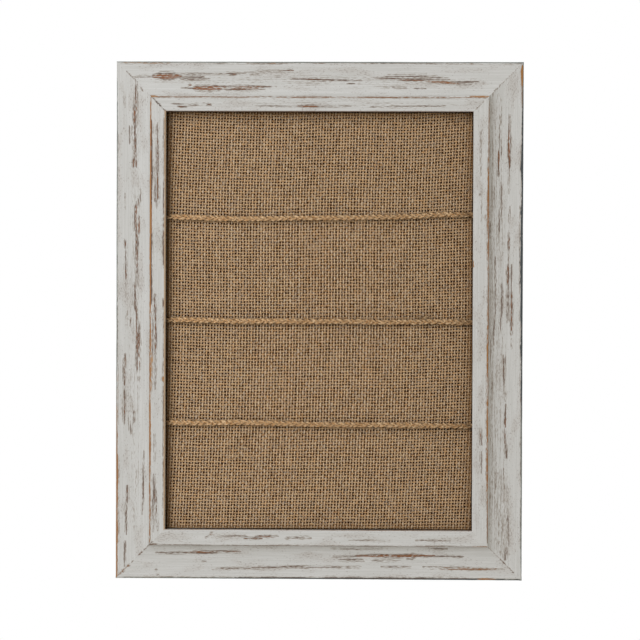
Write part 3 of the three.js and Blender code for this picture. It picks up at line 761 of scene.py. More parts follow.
# From the hem on the back round the edge to the front: how far in from the cloth's edge, and how far forward.
bends = [
    (HEM_WIDTH, GROUND_BACK), (1.0, GROUND_BACK), (0.45, GROUND_BACK + 0.25), (0.3, GROUND_BACK + 0.8),
    (0.3, GROUND_FRONT - 0.8), (0.45, GROUND_FRONT - 0.25), (1.0, GROUND_FRONT), (4.0, GROUND_FRONT)]
loops = []
for inset, forward in bends:
    outline = rounded_loop(CLOTH_WIDTH / 2 - inset, CLOTH_HEIGHT / 2 - inset, CLOTH_CORNER)
    loops.append(place(outline[:, 0], forward, outline[:, 1]))
burlap_ground = loft("burlap_ground", loops)
thicken = burlap_ground.modifiers.new("thickness", "SOLIDIFY")
thicken.thickness = GROUND_THICKNESS * MM
thicken.offset = 0
freeze(burlap_ground)
print("ground", len(burlap_ground.data.polygons), "faces")

# %% [markdown]
# Seen through the holes the ground lies in deep shade, and its colour is that shade painted on: a dark
# brown, a little mottled, since a black ground would make the holes look like a printed pattern. In a
# margin along the lip it is paler, so that the holes show less there.

# %% The ground's material
GROUND_GRAIN = 3.0
# The ground's paler margin, in millimetres past the opening's edge: where it starts, and where it is full.
MARGIN_START = -5.0
MARGIN_FULL = -1.5
burlap_shade, tree, shader = new_material("burlap_ground", 0.95)
shader.inputs["Specular IOR Level"].default_value = FIBRE_GLOSS
spot = add_node(tree, "ShaderNodeTexCoord").outputs["Object"]
noise = add_node(tree, "ShaderNodeTexNoise", {
    "Vector": spot, "Scale": 1 / (GROUND_GRAIN * MM), "Detail": 3.0})
# The ground's dark browns are painted shade for the holes.
shade = coat(tree, linear("#231306"), linear("#3C240F"), noise, 0.35, 0.65)
shade = edge_shade(tree, shade, spot, "#8A6540", MARGIN_START, MARGIN_FULL)
tree.links.new(shade, shader.inputs["Base Color"])
bump = add_node(tree, "ShaderNodeBump", {"Strength": 0.4, "Distance": 0.2 * MM, "Height": noise})
tree.links.new(bump.outputs["Normal"], shader.inputs["Normal"])
burlap_ground.data.materials.clear()
burlap_ground.data.materials.append(burlap_shade)
print(burlap_shade.name)

# %% [markdown]
# ## A cloth pulled askew
#
# Burlap is loose, and hands that stretch it over a board pull it out of square. Here the warp leans to
# the left on its way down, and the weft sags and climbs again. The lists say how far, in millimetres at
# even steps, and every yarn moves by the same smooth amount, so the weave still fits together. Near its
# edges the cloth is held, so the pull dies out there, hidden by the frame.

# %% A cloth pulled askew
# To the right, from the top of the opening to the bottom.
WARP_LEAN = (3.9, 3.0, 1.9, 1.3, 1.3, 1.2, 0.7, 0.0, -1.2, -2.5, -4.0)
# Downwards, from the left of the opening to the right.
WEFT_SAG_TOP = (-1.4, -0.2, 0.5, 0.9, 0.9, 0.1, -0.2, 0.1, -0.2, -1.4, -3.1)
WEFT_SAG_BOTTOM = (0.3, 0.6, 0.7, 0.5, 0.2, 0.0, -0.2, -0.1, -0.5, -1.0, -1.3)


def read_line(values, share):
    """The smooth line through evenly spaced values, read at shares from 0 to 1 of its length."""
    line = smooth_line(values, samples=201)
    return np.interp(share, np.linspace(0, 1, len(line)), line)


def held(distance, sight, edge):
    """1 inside the opening, falling to 0 at the edge of the cloth."""
    return np.clip((edge - np.abs(distance)) / (edge - sight), 0, 1)


def pull_askew(piece):
    """Moves every point of a piece of the weave with the pulled cloth."""
    spots = np.empty(len(piece.data.vertices) * 3)
    piece.data.vertices.foreach_get("co", spots)
    spots = spots.reshape(-1, 3)
    across, up = (spots[:, 0] - MIDDLE.x) / MM, (spots[:, 2] - MIDDLE.z) / MM
    from_left, from_top = across / SIGHT_WIDTH + 0.5, 0.5 - up / SIGHT_HEIGHT
    lean = read_line(WARP_LEAN, from_top) * held(across, SIGHT_WIDTH / 2, CLOTH_WIDTH / 2)
    top, bottom = (read_line(sag, from_left) for sag in (WEFT_SAG_TOP, WEFT_SAG_BOTTOM))
    sag = (top + (bottom - top) * from_top) * held(up, SIGHT_HEIGHT / 2, CLOTH_HEIGHT / 2)
    spots[:, 0] += lean * MM
    spots[:, 2] -= sag * MM
    piece.data.vertices.foreach_set("co", spots.ravel())


print("warp leans", WARP_LEAN[0] - WARP_LEAN[-1], "mm from top to bottom")

# %% [markdown]
# ## Warp and weft
#
# The warp runs up the board and the weft across it. Each is grown in two halves, so that no piece is too
# heavy, and turned into place. The flat UV map is for baking only: it looks at the cloth squarely from
# the front.

# %% Warp and weft
WARP_SPACING = 2.03
WEFT_SPACING = 2.06
YARN_RADIUS = 0.55
YARN_FLATNESS = 0.5
YARN_WAVE = 0.62
YARN_WANDER = 0.23
SLUB_LENGTH = 3.2
WEAVE_FORWARD = 8.36
WARP_ADVANCE = 0.07
WARP_SEED = 3
WEFT_SEED = 8
warp_count = int(CLOTH_WIDTH / WARP_SPACING)
weft_count = int(CLOTH_HEIGHT / WEFT_SPACING)


def front_map(piece):
    """A UV map that looks at the piece from the front."""
    corners = np.empty(len(piece.data.loops), np.int32)
    piece.data.loops.foreach_get("vertex_index", corners)
    spots = np.empty(len(piece.data.vertices) * 3)
    piece.data.vertices.foreach_get("co", spots)
    flat = spots.reshape(-1, 3)[:, [0, 2]]
    flat = (flat - flat.min(axis=0)) / np.ptp(flat, axis=0).max()
    piece.data.uv_layers.new(name="OFBake").data.foreach_set("uv", flat[corners].ravel())


def yarn_row(name, first, yarns, spacing, crossings, crossing_spacing, turn, forward, seed, material):
    """One half of the warp or the weft, in its place on the board."""
    piece = grow(name, woven_yarns, bpy.data.meshes.new(name + "_start"), {
        "Yarns": yarns, "First": first, "Spacing": spacing * MM, "Crossings": crossings,
        "Crossing spacing": crossing_spacing * MM, "Radius": YARN_RADIUS * MM, "Flatness": YARN_FLATNESS,
        "Wave": YARN_WAVE * MM, "Wander": YARN_WANDER * MM, "Slub length": SLUB_LENGTH * MM, "Seed": seed,
        "Material": material})
    corner = place(-warp_count * WARP_SPACING / 2, forward, -weft_count * WEFT_SPACING / 2)
    piece.data.transform(Matrix.Translation(corner) @ turn)
    pull_askew(piece)
    piece.data.shade_smooth()
    front_map(piece)
    return piece


# These stand a row of yarns upright with its wave to the back, or lay it across with its wave to the front.
UPRIGHT = Matrix(((0, 1, 0, 0), (0, 0, 1, 0), (1, 0, 0, 0), (0, 0, 0, 1)))
LEVEL = Matrix(((1, 0, 0, 0), (0, 0, -1, 0), (0, 1, 0, 0), (0, 0, 0, 1)))
half_warp, half_weft = warp_count // 2, weft_count // 2
weave = []
for half, first, yarns in (("left", 0, half_warp), ("right", half_warp, warp_count - half_warp)):
    weave.append(yarn_row(
        "burlap_warp_" + half, first, yarns, WARP_SPACING, weft_count, WEFT_SPACING, UPRIGHT,
        WEAVE_FORWARD + WARP_ADVANCE, WARP_SEED, burlap_warp))
for half, first, yarns in (("lower", 0, half_weft), ("upper", half_weft, weft_count - half_weft)):
    weave.append(yarn_row(
        "burlap_weft_" + half, first, yarns, WEFT_SPACING, warp_count, WARP_SPACING, LEVEL,
        WEAVE_FORWARD, WEFT_SEED, burlap_weft))
for piece in weave:
    triangles = sum(len(face.vertices) - 2 for face in piece.data.polygons)
    print(piece.name, triangles, "triangles")

# %% [markdown]
# The cloth sheds fibres as well. They lie flat on it, so they turn freely only in its plane.

# %% The cloth's loose fibres
FIBRE_COUNT = 5000
FIBRE_LENGTH = 4.5
FIBRE_TURN = (0.15, math.pi, 0.15)
FIBRE_ACROSS = 104
FIBRE_UP = 142
FIBRE_LOW, FIBRE_HIGH = 8.7, 9.0
FIBRE_SPOT_SEED = 77
FIBRE_TURN_SEED = 21
draw = np.random.default_rng(FIBRE_SPOT_SEED)
spots = place(draw.uniform(-FIBRE_ACROSS, FIBRE_ACROSS, FIBRE_COUNT),
              draw.uniform(FIBRE_LOW, FIBRE_HIGH, FIBRE_COUNT),
              draw.uniform(-FIBRE_UP, FIBRE_UP, FIBRE_COUNT))
burlap_fibres = grow("burlap_fibres", loose_fibres, dot_mesh("burlap_spots", spots),
                     fibre_sizes(FIBRE_LENGTH, FIBRE_TURN, FIBRE_TURN_SEED, burlap_warp))
cloth_pieces = [*weave, burlap_fibres]
for piece in cloth_pieces:
    settle(piece, "board", "burlap")
settle(burlap_ground, "board", "burlap", "burlap_cloth")

# %% [markdown]
# ## The rails' section
#
# The four rails are one moulding, cut to length and mitred: a flat outer band, a hollow cove, a small
# step and a raised lip, with a rebate behind the lip. Sweeping a section could be left to a curve with a
# bevel, but here each point of the surface also has to know how far along and across the rail it is,
# because paint and wood grain follow the rail. So the mesh is built as a grid: one direction runs round
# the section, the other along the rail.

# %% The rails' section
BAND_WIDTH = 8.0
LIP_WIDTH = 11.1
LIP_STEP = 1.4
LIP_RISE = 6.0
LIP_THICKNESS = 5.6
REBATE_WIDTH = 7.0
OUTER_ROUND = 1.5
LIP_ROUND = 0.7
EDGE_HEIGHT = RAIL_DEPTH - LIP_RISE
LIP_START = RAIL_WIDTH - LIP_WIDTH
# The steps between points, in millimetres on the straight parts and as counts on the rounds.
SIDE_STEP = 1.0
FINE_STEP = 0.3
WALL_STEP = 0.6
BACK_STEP = 2.5
OUTER_STEPS = 8
COVE_STEPS = 54
LIP_STEPS = 5


def stretch(start, end, spacing):
    """Points on a straight line, the last one left out, because the next stretch starts there."""
    start, end = np.array(start, float), np.array(end, float)
    count = max(1, round(float(np.linalg.norm(end - start)) / spacing))
    return start + (end - start) * (np.arange(count) / count)[:, None]


def bow(centre, radii, start, end, count):
    """Points on an ellipse's arc in degrees, the last one left out."""
    angle = np.radians(start + (end - start) * np.arange(count) / count)
    return np.array(centre) + np.array(radii) * np.stack([np.cos(angle), np.sin(angle)], axis=1)


def rail_section():
    """The outline from the outer back corner round the front, and how many of its points are painted."""
    top, under = RAIL_DEPTH, RAIL_DEPTH - LIP_THICKNESS
    back = RAIL_WIDTH - REBATE_WIDTH
    cove_top = EDGE_HEIGHT + LIP_RISE - LIP_STEP
    painted = np.concatenate([
        stretch((0, 0), (0, EDGE_HEIGHT - OUTER_ROUND), SIDE_STEP),
        bow((OUTER_ROUND, EDGE_HEIGHT - OUTER_ROUND), (OUTER_ROUND, OUTER_ROUND), 180, 90, OUTER_STEPS),
        stretch((OUTER_ROUND, EDGE_HEIGHT), (BAND_WIDTH, EDGE_HEIGHT), FINE_STEP),
        bow((BAND_WIDTH, cove_top), (LIP_START - BAND_WIDTH, cove_top - EDGE_HEIGHT), 270, 360, COVE_STEPS),
        stretch((LIP_START, cove_top), (LIP_START, top - LIP_ROUND), FINE_STEP),
        bow((LIP_START + LIP_ROUND, top - LIP_ROUND), (LIP_ROUND, LIP_ROUND), 180, 90, LIP_STEPS),
        stretch((LIP_START + LIP_ROUND, top), (RAIL_WIDTH - LIP_ROUND, top), FINE_STEP),
        bow((RAIL_WIDTH - LIP_ROUND, top - LIP_ROUND), (LIP_ROUND, LIP_ROUND), 90, 0, LIP_STEPS),
        stretch((RAIL_WIDTH, top - LIP_ROUND), (RAIL_WIDTH, under), WALL_STEP)])
    bare = np.concatenate([
        stretch((RAIL_WIDTH, under), (back, under), BACK_STEP),
        stretch((back, under), (back, 0), BACK_STEP),
        stretch((back, 0), (0, 0), BACK_STEP)])
    return np.concatenate([painted, bare]), len(painted)


section, painted_count = rail_section()
print("section", len(section), "points,", painted_count, "of them painted")

# %% [markdown]
# ## Where the paint is rubbed
#
# The paint is rubbed through in long spindles that follow the grain, along the arrises of the lip and the
# outer edge, and at the mitres. Noise alone would put them anywhere, so each rub is placed where the photo
# shows it: where it starts and ends along the rail, how far across it lies at each end, how wide it is and
# how deep it goes. Lengths run from the left or the upper end, and across from the outer edge. A rub thins
# out towards its ends, so one that has to stay wide at a corner runs on past the rail's end.
#
# A seventh number, where there is one, says what shows under the paint. Brown wood is 0 and golden wood
# is 1, and up to 2 the wood gets pale and raw. Down to -1 it turns into a dark crack, or at the outer
# edge into dark slate, partly grey first coat and partly painted shade.

# %% The rubs on the top and bottom rails
RUBS = {}
RUBS["rail_top"] = [
    (12, 28, 10.6, 10.6, 0.9, 0.75), (24, 45, 10.4, 10.3, 4.2, 1.0), (43, 69, 8.9, 8.7, 1.2, 0.65),
    (43, 61, 10.4, 10.6, 1.6, 0.65), (43, 65, 12.0, 12.1, 0.9, 0.8), (49, 52, 16.3, 16.3, 1.3, 1.0),
    (44, 54, 17.8, 18.6, 0.9, 0.65), (52, 73, 18.3, 18.3, 3.6, 1.0), (71, 107, 17.4, 17.5, 1.3, 0.95),
    (71, 103, 19.1, 19.2, 1.0, 0.9), (71, 98, 18.3, 18.4, 1.8, 0.7, 0.4), (62, 91, 8.9, 8.0, 0.8, 0.6),
    (77, 83, 8.8, 8.7, 1.0, 0.85), (88, 118, 7.4, 6.3, 0.9, 0.6), (117, 122, 6.1, 6.1, 1.0, 0.9),
    (91, 103, 9.2, 8.2, 0.8, 0.7), (109, 113, 10.4, 10.4, 0.8, 0.7), (117, 170, 11.7, 13.2, 1.5, 0.7),
    (126, 151, 12.0, 13.0, 1.3, 0.85), (158, 164, 15.3, 15.1, 0.8, 0.75), (176, 186, 11.2, 11.4, 0.9, 0.65),
    (182, 230, 10.2, 11.8, 3.4, 0.55), (180, 196, 11.8, 11.8, 1.0, 0.8), (193, 214, 12.4, 13.1, 1.2, 0.95),
    (210, 235, 13.1, 14.9, 1.5, 1.0, 0.3), (232, 249, 14.5, 13.5, 1.0, 0.85),
    (233, 244, 15.2, 15.2, 0.9, 0.85),
    (189, 200, 17.8, 17.9, 1.0, 0.6), (204, 213, 18.4, 18.6, 0.9, 0.65), (181, 188, 17.7, 17.8, 0.8, 0.5),
    (38, 47, 29.5, 29.4, 0.8, 0.65), (42, 49, 31.3, 31.3, 0.8, 0.9), (49, 57, 30.3, 30.0, 0.8, 0.55),
    (62, 66, 29.8, 29.8, 0.8, 0.85), (95, 128, 30.8, 31.0, 0.8, 0.55), (124, 140, 30.9, 30.9, 1.2, 1.0),
    (138, 162, 30.8, 30.6, 1.3, 0.55), (174, 184, 31.2, 31.4, 0.8, 0.65), (180, 227, 31.3, 30.4, 0.9, 0.68),
    (20, 258, 12.6, 13.6, 9.5, 0.22), (32, 248, 29.4, 29.4, 4.5, 0.2), (24, 256, 24.6, 24.6, 0.5, 1.3, 0.3),
    (23, 29, 24.2, 24.3, 0.9, 1.0, 1.0), (242, 257, 23.9, 24.0, 1.1, 1.0, 1.0),
    (-8, 290, 0.2, 0.2, 1.5, 1.4), (232, 300, 0.2, 0.2, 1.6, 1.4),
    (2, 40, 0.6, 0.6, 1.3, 0.9, 0.6), (60, 150, 0.5, 0.5, 1.0, 0.8, 0.5), (232, 256, 0.5, 0.5, 1.0, 0.8, 0.5),
]
RUBS["rail_bottom"] = [
    (62, 67, 28.9, 31.4, 0.7, 0.85), (65, 68, 31.3, 31.3, 1.4, 1.0), (70, 92, 29.9, 29.8, 1.3, 0.6),
    (88, 102, 28.4, 28.4, 0.9, 0.9), (96, 113, 29.9, 29.9, 1.1, 0.92), (116, 136, 28.6, 29.4, 1.5, 0.62),
    (160, 190, 27.6, 27.2, 0.8, 0.48), (206, 231, 27.7, 27.9, 1.0, 0.7), (27, 53, 17.9, 18.1, 1.0, 0.8),
    (51, 71, 18.2, 18.8, 1.5, 1.0), (69, 87, 19.2, 18.8, 1.2, 0.9), (66, 93, 7.1, 7.4, 1.0, 0.75),
    (89, 113, 7.6, 8.2, 1.0, 0.82), (112, 137, 8.7, 8.5, 1.0, 0.8), (136, 170, 8.5, 8.6, 0.9, 0.74),
    (149, 166, 15.8, 16.0, 0.9, 0.7), (164, 222, 16.5, 16.8, 2.0, 1.0), (219, 240, 16.7, 16.4, 1.1, 0.72),
    (153, 171, 13.8, 14.2, 0.9, 0.58), (153, 172, 12.6, 12.5, 0.8, 0.55), (200, 205, 14.4, 14.4, 0.8, 0.8),
    (176, 196, 13.2, 13.6, 1.7, 0.5), (182, 204, 9.0, 9.1, 0.9, 0.62), (211, 223, 8.9, 8.3, 0.9, 0.68),
    (221, 263, 8.0, 7.9, 1.3, 0.92, 0.4), (214, 240, 9.3, 9.2, 0.8, 0.58), (262, 268, 8.0, 8.0, 0.8, 0.55),
    (147, 185, 21.4, 21.5, 0.8, 0.55), (217, 229, 21.8, 21.8, 0.9, 0.7), (59, 63, 12.3, 12.5, 0.9, 0.7),
    (27, 29, 6.1, 6.1, 0.9, 0.7), (28, 31, 2.2, 3.4, 0.7, 0.6),
    (24, 256, 23.4, 23.4, 0.4, 0.9), (23, 29, 23.8, 23.8, 1.4, 0.8, 0.2),
    (245, 257, 23.7, 23.8, 1.2, 1.0, 0.6),
    # The second rub on the next line, a dark slate line along the outer edge, is partly grey first coat and
    # partly painted shade: this edge faces away from the lamp.
    (2, 290, 0.2, 0.2, 1.6, 1.5), (62, 294, 0.1, 0.1, 2.4, 1.9, -0.7),
    (3, 276, 0.7, 0.7, 0.8, 0.6, 0.5), (92, 152, 0.6, 0.6, 1.2, 0.85, 0.3),
    (248, 262, 0.8, 0.8, 1.2, 2.0, 0.8),
]
print("rubs on the top and bottom rails", len(RUBS["rail_top"]), len(RUBS["rail_bottom"]))

# %% The rubs on the left and right rails
RUBS["rail_left"] = [
    (14, 46, 13.7, 13.4, 1.6, 0.9), (26, 37, 13.2, 13.0, 1.9, 0.8), (32, 44, 12.1, 12.0, 1.1, 1.0),
    (44, 73, 12.6, 12.9, 1.3, 0.88), (67, 73, 11.8, 11.8, 1.0, 0.95), (67, 73, 13.4, 13.4, 1.0, 0.95),
    (44, 61, 10.8, 11.2, 1.0, 0.58), (20, 32, 5.2, 5.3, 0.8, 0.5), (44, 57, 8.9, 8.9, 0.8, 0.55),
    (17, 21, 16.2, 18.5, 0.8, 0.65), (94, 101, 15.0, 14.6, 1.3, 0.85), (98, 108, 13.6, 13.5, 1.5, 1.0),
    (105, 117, 13.2, 13.3, 1.6, 0.92), (106, 119, 15.6, 15.7, 1.1, 1.0), (112, 143, 14.0, 14.3, 1.4, 0.9),
    (140, 154, 14.6, 14.5, 1.7, 0.68), (151, 172, 12.6, 13.5, 1.8, 0.82), (122, 129, 6.2, 6.4, 1.0, 0.88),
    (129, 163, 6.6, 6.8, 0.9, 0.66), (142, 151, 6.8, 6.8, 1.0, 0.92), (90, 102, 6.1, 6.1, 0.8, 0.55),
    (85, 97, 17.2, 16.6, 0.9, 0.58), (167, 214, 14.2, 14.8, 1.3, 0.9), (178, 213, 16.0, 16.2, 1.1, 0.9),
    (185, 207, 15.2, 15.3, 2.6, 0.75), (200, 226, 6.2, 6.0, 1.4, 0.86), (223, 250, 6.0, 5.9, 1.1, 0.8),
    (236, 243, 5.9, 5.9, 1.1, 0.95), (171, 185, 7.8, 8.2, 1.0, 0.58), (176, 182, 10.0, 10.0, 0.8, 0.8),
    (240, 249, 12.6, 12.4, 1.1, 0.8), (216, 220, 15.7, 15.7, 0.8, 0.75), (230, 243, 11.0, 11.6, 0.8, 0.52),
    (244, 257, 8.5, 11.0, 1.8, 0.48), (291, 304, 8.2, 8.0, 1.5, 0.84), (301, 326, 7.5, 7.4, 1.3, 0.78),
    (329, 348, 6.7, 6.4, 1.0, 0.68), (267, 288, 19.6, 19.4, 0.8, 0.58), (285, 303, 19.2, 19.0, 1.0, 0.85),
    (301, 312, 18.9, 18.7, 0.8, 0.58), (42, 55, 28.6, 28.6, 0.8, 0.66), (52, 80, 28.7, 28.8, 1.3, 0.86),
    (78, 102, 28.8, 28.9, 1.1, 0.92), (80, 97, 27.0, 27.1, 1.0, 0.85), (82, 95, 29.6, 29.8, 0.8, 0.58),
    (72, 85, 26.2, 26.4, 0.8, 0.58), (159, 173, 27.1, 27.0, 1.1, 0.78), (166, 176, 27.3, 27.5, 1.2, 0.85),
    (174, 203, 27.7, 27.6, 1.3, 0.9), (200, 226, 27.5, 27.4, 1.0, 0.78), (176, 204, 25.4, 25.3, 2.0, 0.56),
    (255, 276, 27.0, 27.4, 1.1, 0.46), (283, 295, 26.4, 27.2, 2.0, 0.62), (293, 324, 26.6, 26.4, 1.3, 0.62),
    (292, 323, 27.6, 29.8, 1.2, 0.82), (293, 305, 27.3, 27.9, 1.7, 0.84),
    (82, 141, 33.1, 33.1, 0.9, 0.82), (36, 84, 33.3, 33.3, 0.7, 0.58), (162, 171, 33.0, 33.0, 1.0, 0.78),
    (169, 320, 33.3, 33.3, 0.7, 0.56), (216, 220, 33.0, 33.0, 1.4, 1.0, 0.8),
    (18, 338, 13.2, 13.4, 9.0, 0.2), (23.5, 175, 24.0, 24.0, 0.8, 2.0, 0.7),
    (60, 152, 24.0, 24.0, 1.2, 2.1, 1.0), (40, 168, 24.8, 24.8, 0.4, 1.8, -0.8),
    (149, 174, 23.9, 23.9, 1.0, 1.5, 0.9), (166, 238, 24.0, 24.0, 0.9, 1.0, 0.6),
    (170, 234, 24.6, 24.6, 1.6, 0.75, 1.5), (228, 332, 24.0, 24.0, 0.7, 1.5, 0.6),
    (226, 264, 23.9, 23.9, 1.0, 1.4, 0.8), (261, 284, 23.9, 23.9, 1.0, 0.92, 0.5),
    (281, 332, 23.9, 23.9, 0.8, 0.72, 0.3), (10, 352, 0.2, 0.2, 1.1, 1.1),
    (198, 292, 0.5, 0.5, 1.0, 1.0, 0.7), (232, 372, 0.4, 0.5, 2.0, 1.5, 0.5),
    (262, 370, 0.5, 0.6, 1.4, 1.6, 0.7),
]
RUBS["rail_right"] = [
    (35, 45, 9.4, 9.7, 1.3, 0.8), (42, 68, 9.8, 9.8, 1.6, 1.0), (65, 73, 9.6, 9.6, 1.4, 0.9),
    (72, 91, 9.8, 10.0, 0.9, 0.58), (57, 67, 10.6, 10.6, 1.0, 0.8), (42, 63, 16.0, 16.4, 0.8, 0.68),
    (60, 72, 16.8, 16.9, 1.2, 0.98), (70, 79, 17.1, 17.2, 1.5, 0.8), (36, 44, 15.4, 15.6, 0.8, 0.55),
    (57, 64, 14.6, 15.2, 0.8, 0.55), (116, 130, 9.7, 9.8, 1.3, 0.9), (98, 111, 9.3, 9.4, 0.9, 0.58),
    (128, 140, 9.8, 9.9, 0.9, 0.58), (138, 154, 10.1, 10.3, 1.5, 0.93), (151, 171, 10.2, 10.2, 1.3, 0.72),
    (138, 158, 7.9, 7.9, 0.8, 0.68), (156, 188, 7.7, 7.9, 1.2, 0.94), (189, 197, 7.8, 7.8, 0.8, 0.55),
    (151, 175, 14.4, 14.3, 1.1, 0.8), (172, 185, 15.4, 15.4, 0.9, 0.66), (167, 179, 10.3, 10.4, 0.9, 0.66),
    (83, 117, 15.2, 16.0, 3.2, 0.48), (133, 173, 19.0, 18.9, 1.0, 0.66), (173, 199, 19.6, 20.0, 1.0, 0.66),
    (109, 121, 22.6, 22.6, 0.9, 0.66), (200, 223, 12.9, 12.5, 1.5, 0.78), (221, 233, 12.4, 12.0, 1.6, 0.52),
    (234, 251, 11.4, 11.8, 1.1, 0.85), (243, 251, 11.7, 11.8, 1.1, 0.94), (251, 262, 11.9, 11.8, 1.2, 0.9),
    (261, 272, 11.2, 11.0, 1.0, 0.8), (277, 341, 13.5, 13.5, 9.0, 0.36), (290, 333, 10.2, 8.9, 0.9, 0.62),
    (332, 342, 10.8, 11.4, 2.2, 0.64), (264, 294, 18.4, 18.0, 1.6, 0.56), (250, 259, 28.7, 28.7, 1.1, 0.92),
    (252, 263, 28.4, 28.4, 1.0, 0.85), (266, 282, 28.4, 28.3, 0.9, 0.72), (47, 79, 29.2, 29.0, 0.9, 0.56),
    (46, 50, 28.0, 29.4, 0.7, 0.66), (82, 119, 28.9, 28.8, 0.8, 0.48), (90, 92, 29.5, 29.5, 1.0, 0.85),
    (104, 109, 25.8, 25.8, 0.8, 0.58, 1.0), (136, 141, 33.8, 33.8, 1.2, 0.95, 1.0),
    (26, 330, 23.7, 23.7, 0.5, 1.3, 0.4), (61, 87, 23.8, 23.8, 0.9, 1.0, 0.7),
    (84, 147, 24.0, 24.0, 1.1, 0.96, 0.6), (144, 171, 23.9, 23.9, 0.8, 0.58, 0.5),
    (167, 282, 23.9, 23.9, 1.1, 0.92, 0.85), (253, 310, 23.8, 23.8, 1.3, 1.0, 0.75),
    (306, 330, 23.8, 23.8, 0.8, 0.66, 0.3),
    (2, 17, 0.9, 0.9, 1.6, 2.1, 0.9), (15, 31, 0.9, 0.9, 1.0, 1.9, 0.2), (8, 366, -0.2, -0.2, 2.0, 1.6),
    # The two dark slate lines on the next line are partly grey first coat and partly painted shade: this edge
    # faces away from the lamp.
    (-6, 286, -0.2, -0.2, 2.2, 1.7, -0.75), (14, 246, 0.1, 0.1, 2.7, 1.9, -0.95),
    # The last two rubs on the next line are painted shade: wide grey veils in the cove, where the lip shades
    # it.
    (229, 233, 1.0, 1.0, 1.1, 0.92), (4, 352, 21.2, 21.2, 3.0, 0.34), (12, 344, 17.2, 17.2, 8.0, 0.24),
]
print("rubs on the left and right rails", len(RUBS["rail_left"]), len(RUBS["rail_right"]))

# %% [markdown]
# The photo doesn't show the outer sides of the frame, so their rubs are drawn at random. They have the
# same forms as those on the front, and the distance from the edge counts down from zero.

# %% The rubs on the outer sides
SIDE_RUBS = 14
# Kept clear at each end, and the least and most of how far down, how long, how wide and how deep a rub is.
SIDE_CLEAR = 5
SIDE_DOWN = (1.5, 10.5)
SIDE_RUN = (10, 40)
SIDE_WIDTH = (0.7, 1.4)
SIDE_WEAR = (0.45, 0.8)
SIDE_SEED = 55
draw = np.random.default_rng(SIDE_SEED)
for name, rubs in RUBS.items():
    length = FRAME_WIDTH if name in ("rail_top", "rail_bottom") else FRAME_HEIGHT
    for start in draw.uniform(SIDE_CLEAR, length - SIDE_CLEAR - SIDE_RUN[1], SIDE_RUBS):
        down = -draw.uniform(*SIDE_DOWN)
        run = draw.uniform(*SIDE_RUN)
        rubs.append((start, start + run, down, down, draw.uniform(*SIDE_WIDTH), draw.uniform(*SIDE_WEAR)))
print("rubs on each outer side", SIDE_RUBS)

# %% [markdown]
# ## The mitres
#
# A mitre opens a little as the wood dries, and the paint cracks along it. A real gap would move the rails
# apart, and they meet in the CAD, so a crack is worn paint along the line where they meet. Each entry
# gives a stretch of one corner's mitre, from near the outer corner inwards, how wide the broken paint is,
# how deep, and what shows under it.

# %% The mitre cracks
CRACKS = {
    "top_left": [(6.5, 14.5, 0.5, 0.75), (25.5, 34.4, 1.3, 1.1, -1), (23.4, 26.5, 0.6, 0.7)],
    "top_right": [(2.5, 22.0, 0.4, 0.4), (15.5, 20.0, 0.9, 0.72), (27.0, 33.0, 0.5, 0.6)],
    "bottom_left": [(1.6, 10.0, 1.6, 1.0, 0.4), (10.5, 12.8, 0.6, 0.75), (15.8, 18.6, 0.9, 0.95),
                    (19.5, 23.5, 0.5, 0.68), (23.0, 26.0, 1.5, 0.85)],
    "bottom_right": [(14.0, 23.0, 0.5, 0.44), (11.0, 14.8, 1.0, 0.9), (5.2, 10.2, 0.6, 0.78)],
}
print("mitre cracks", sum(len(cracks) for cracks in CRACKS.values()))

# %% [markdown]
# ## How worn each point is
#
# Rubs and cracks become two numbers on each point of a rail's mesh: how far the paint is rubbed through
# there, and what shows under it. They could be painted as an image, but numbers on the mesh need no file
# and follow it exactly. Where rubs meet, the strongest wins. Round each one the paint is scuffed, and
# smooth noise makes its outline ragged, because sandpaper never leaves a clean line.

# %% Smooth noise
def smooth_noise(x, y, seed):
    """Noise from -1 to 1: a random value at each pair of whole numbers, blended smoothly in between."""
    size = 128
    lattice = np.random.default_rng(seed).uniform(-1, 1, (size, size))
    column, row = np.floor(x).astype(int), np.floor(y).astype(int)
    fx, fy = x - column, y - row
    fx, fy = fx * fx * (3 - 2 * fx), fy * fy * (3 - 2 * fy)
    corner = [[lattice[(column + i) % size, (row + j) % size] for i in (0, 1)] for j in (0, 1)]
    low, high = (pair[0] * (1 - fx) + pair[1] * fx for pair in corner)
    return low * (1 - fy) + high * fy


print("noise at one spot", round(float(smooth_noise(0.5, 0.5, seed=1)), 3))

# %% How worn each point is
# Each rail's first and last corner, and the seed of its own noise.
RAIL_ENDS = {
    "rail_top": ("top_left", "top_right", 101), "rail_bottom": ("bottom_left", "bottom_right", 102),
    "rail_left": ("top_left", "bottom_left", 103), "rail_right": ("top_right", "bottom_right", 104),
}
# The scuffed paint round a rub: how worn it is at the rub's edge, how many millimetres it reaches, and the
# depth of rub from which on it gets no stronger.
HALO = 0.55
HALO_REACH = 1.4
HALO_DEPTH = 0.8
# Paint has worn off the lip's inner arris all along, over this width, and the wood is palest on the left.
INNER_WEAR = 2.0
INNER_ARRIS = {"rail_top": 0.25, "rail_bottom": 0.1, "rail_left": 0.8, "rail_right": 0.05}
INNER_GOLD = {"rail_top": 0.0, "rail_bottom": 0.2, "rail_left": 1.9, "rail_right": 0.2}
# Down the wall behind it the wear is full this far, then fades over this length, but not below this share.
INNER_FULL, INNER_FADE, INNER_LEAST = 1.5, 3.5, 0.1
# How ragged rubs and cracks are, how far a rub's middle strays in parts of its width, and over what length.
RUB_RAGGED, RUB_RAGGED_LENGTH = 0.25, 6
RUB_STRAY, RUB_STRAY_LENGTH = 0.1, 7
CRACK_RAGGED, CRACK_RAGGED_LENGTH = 0.5, 1.1
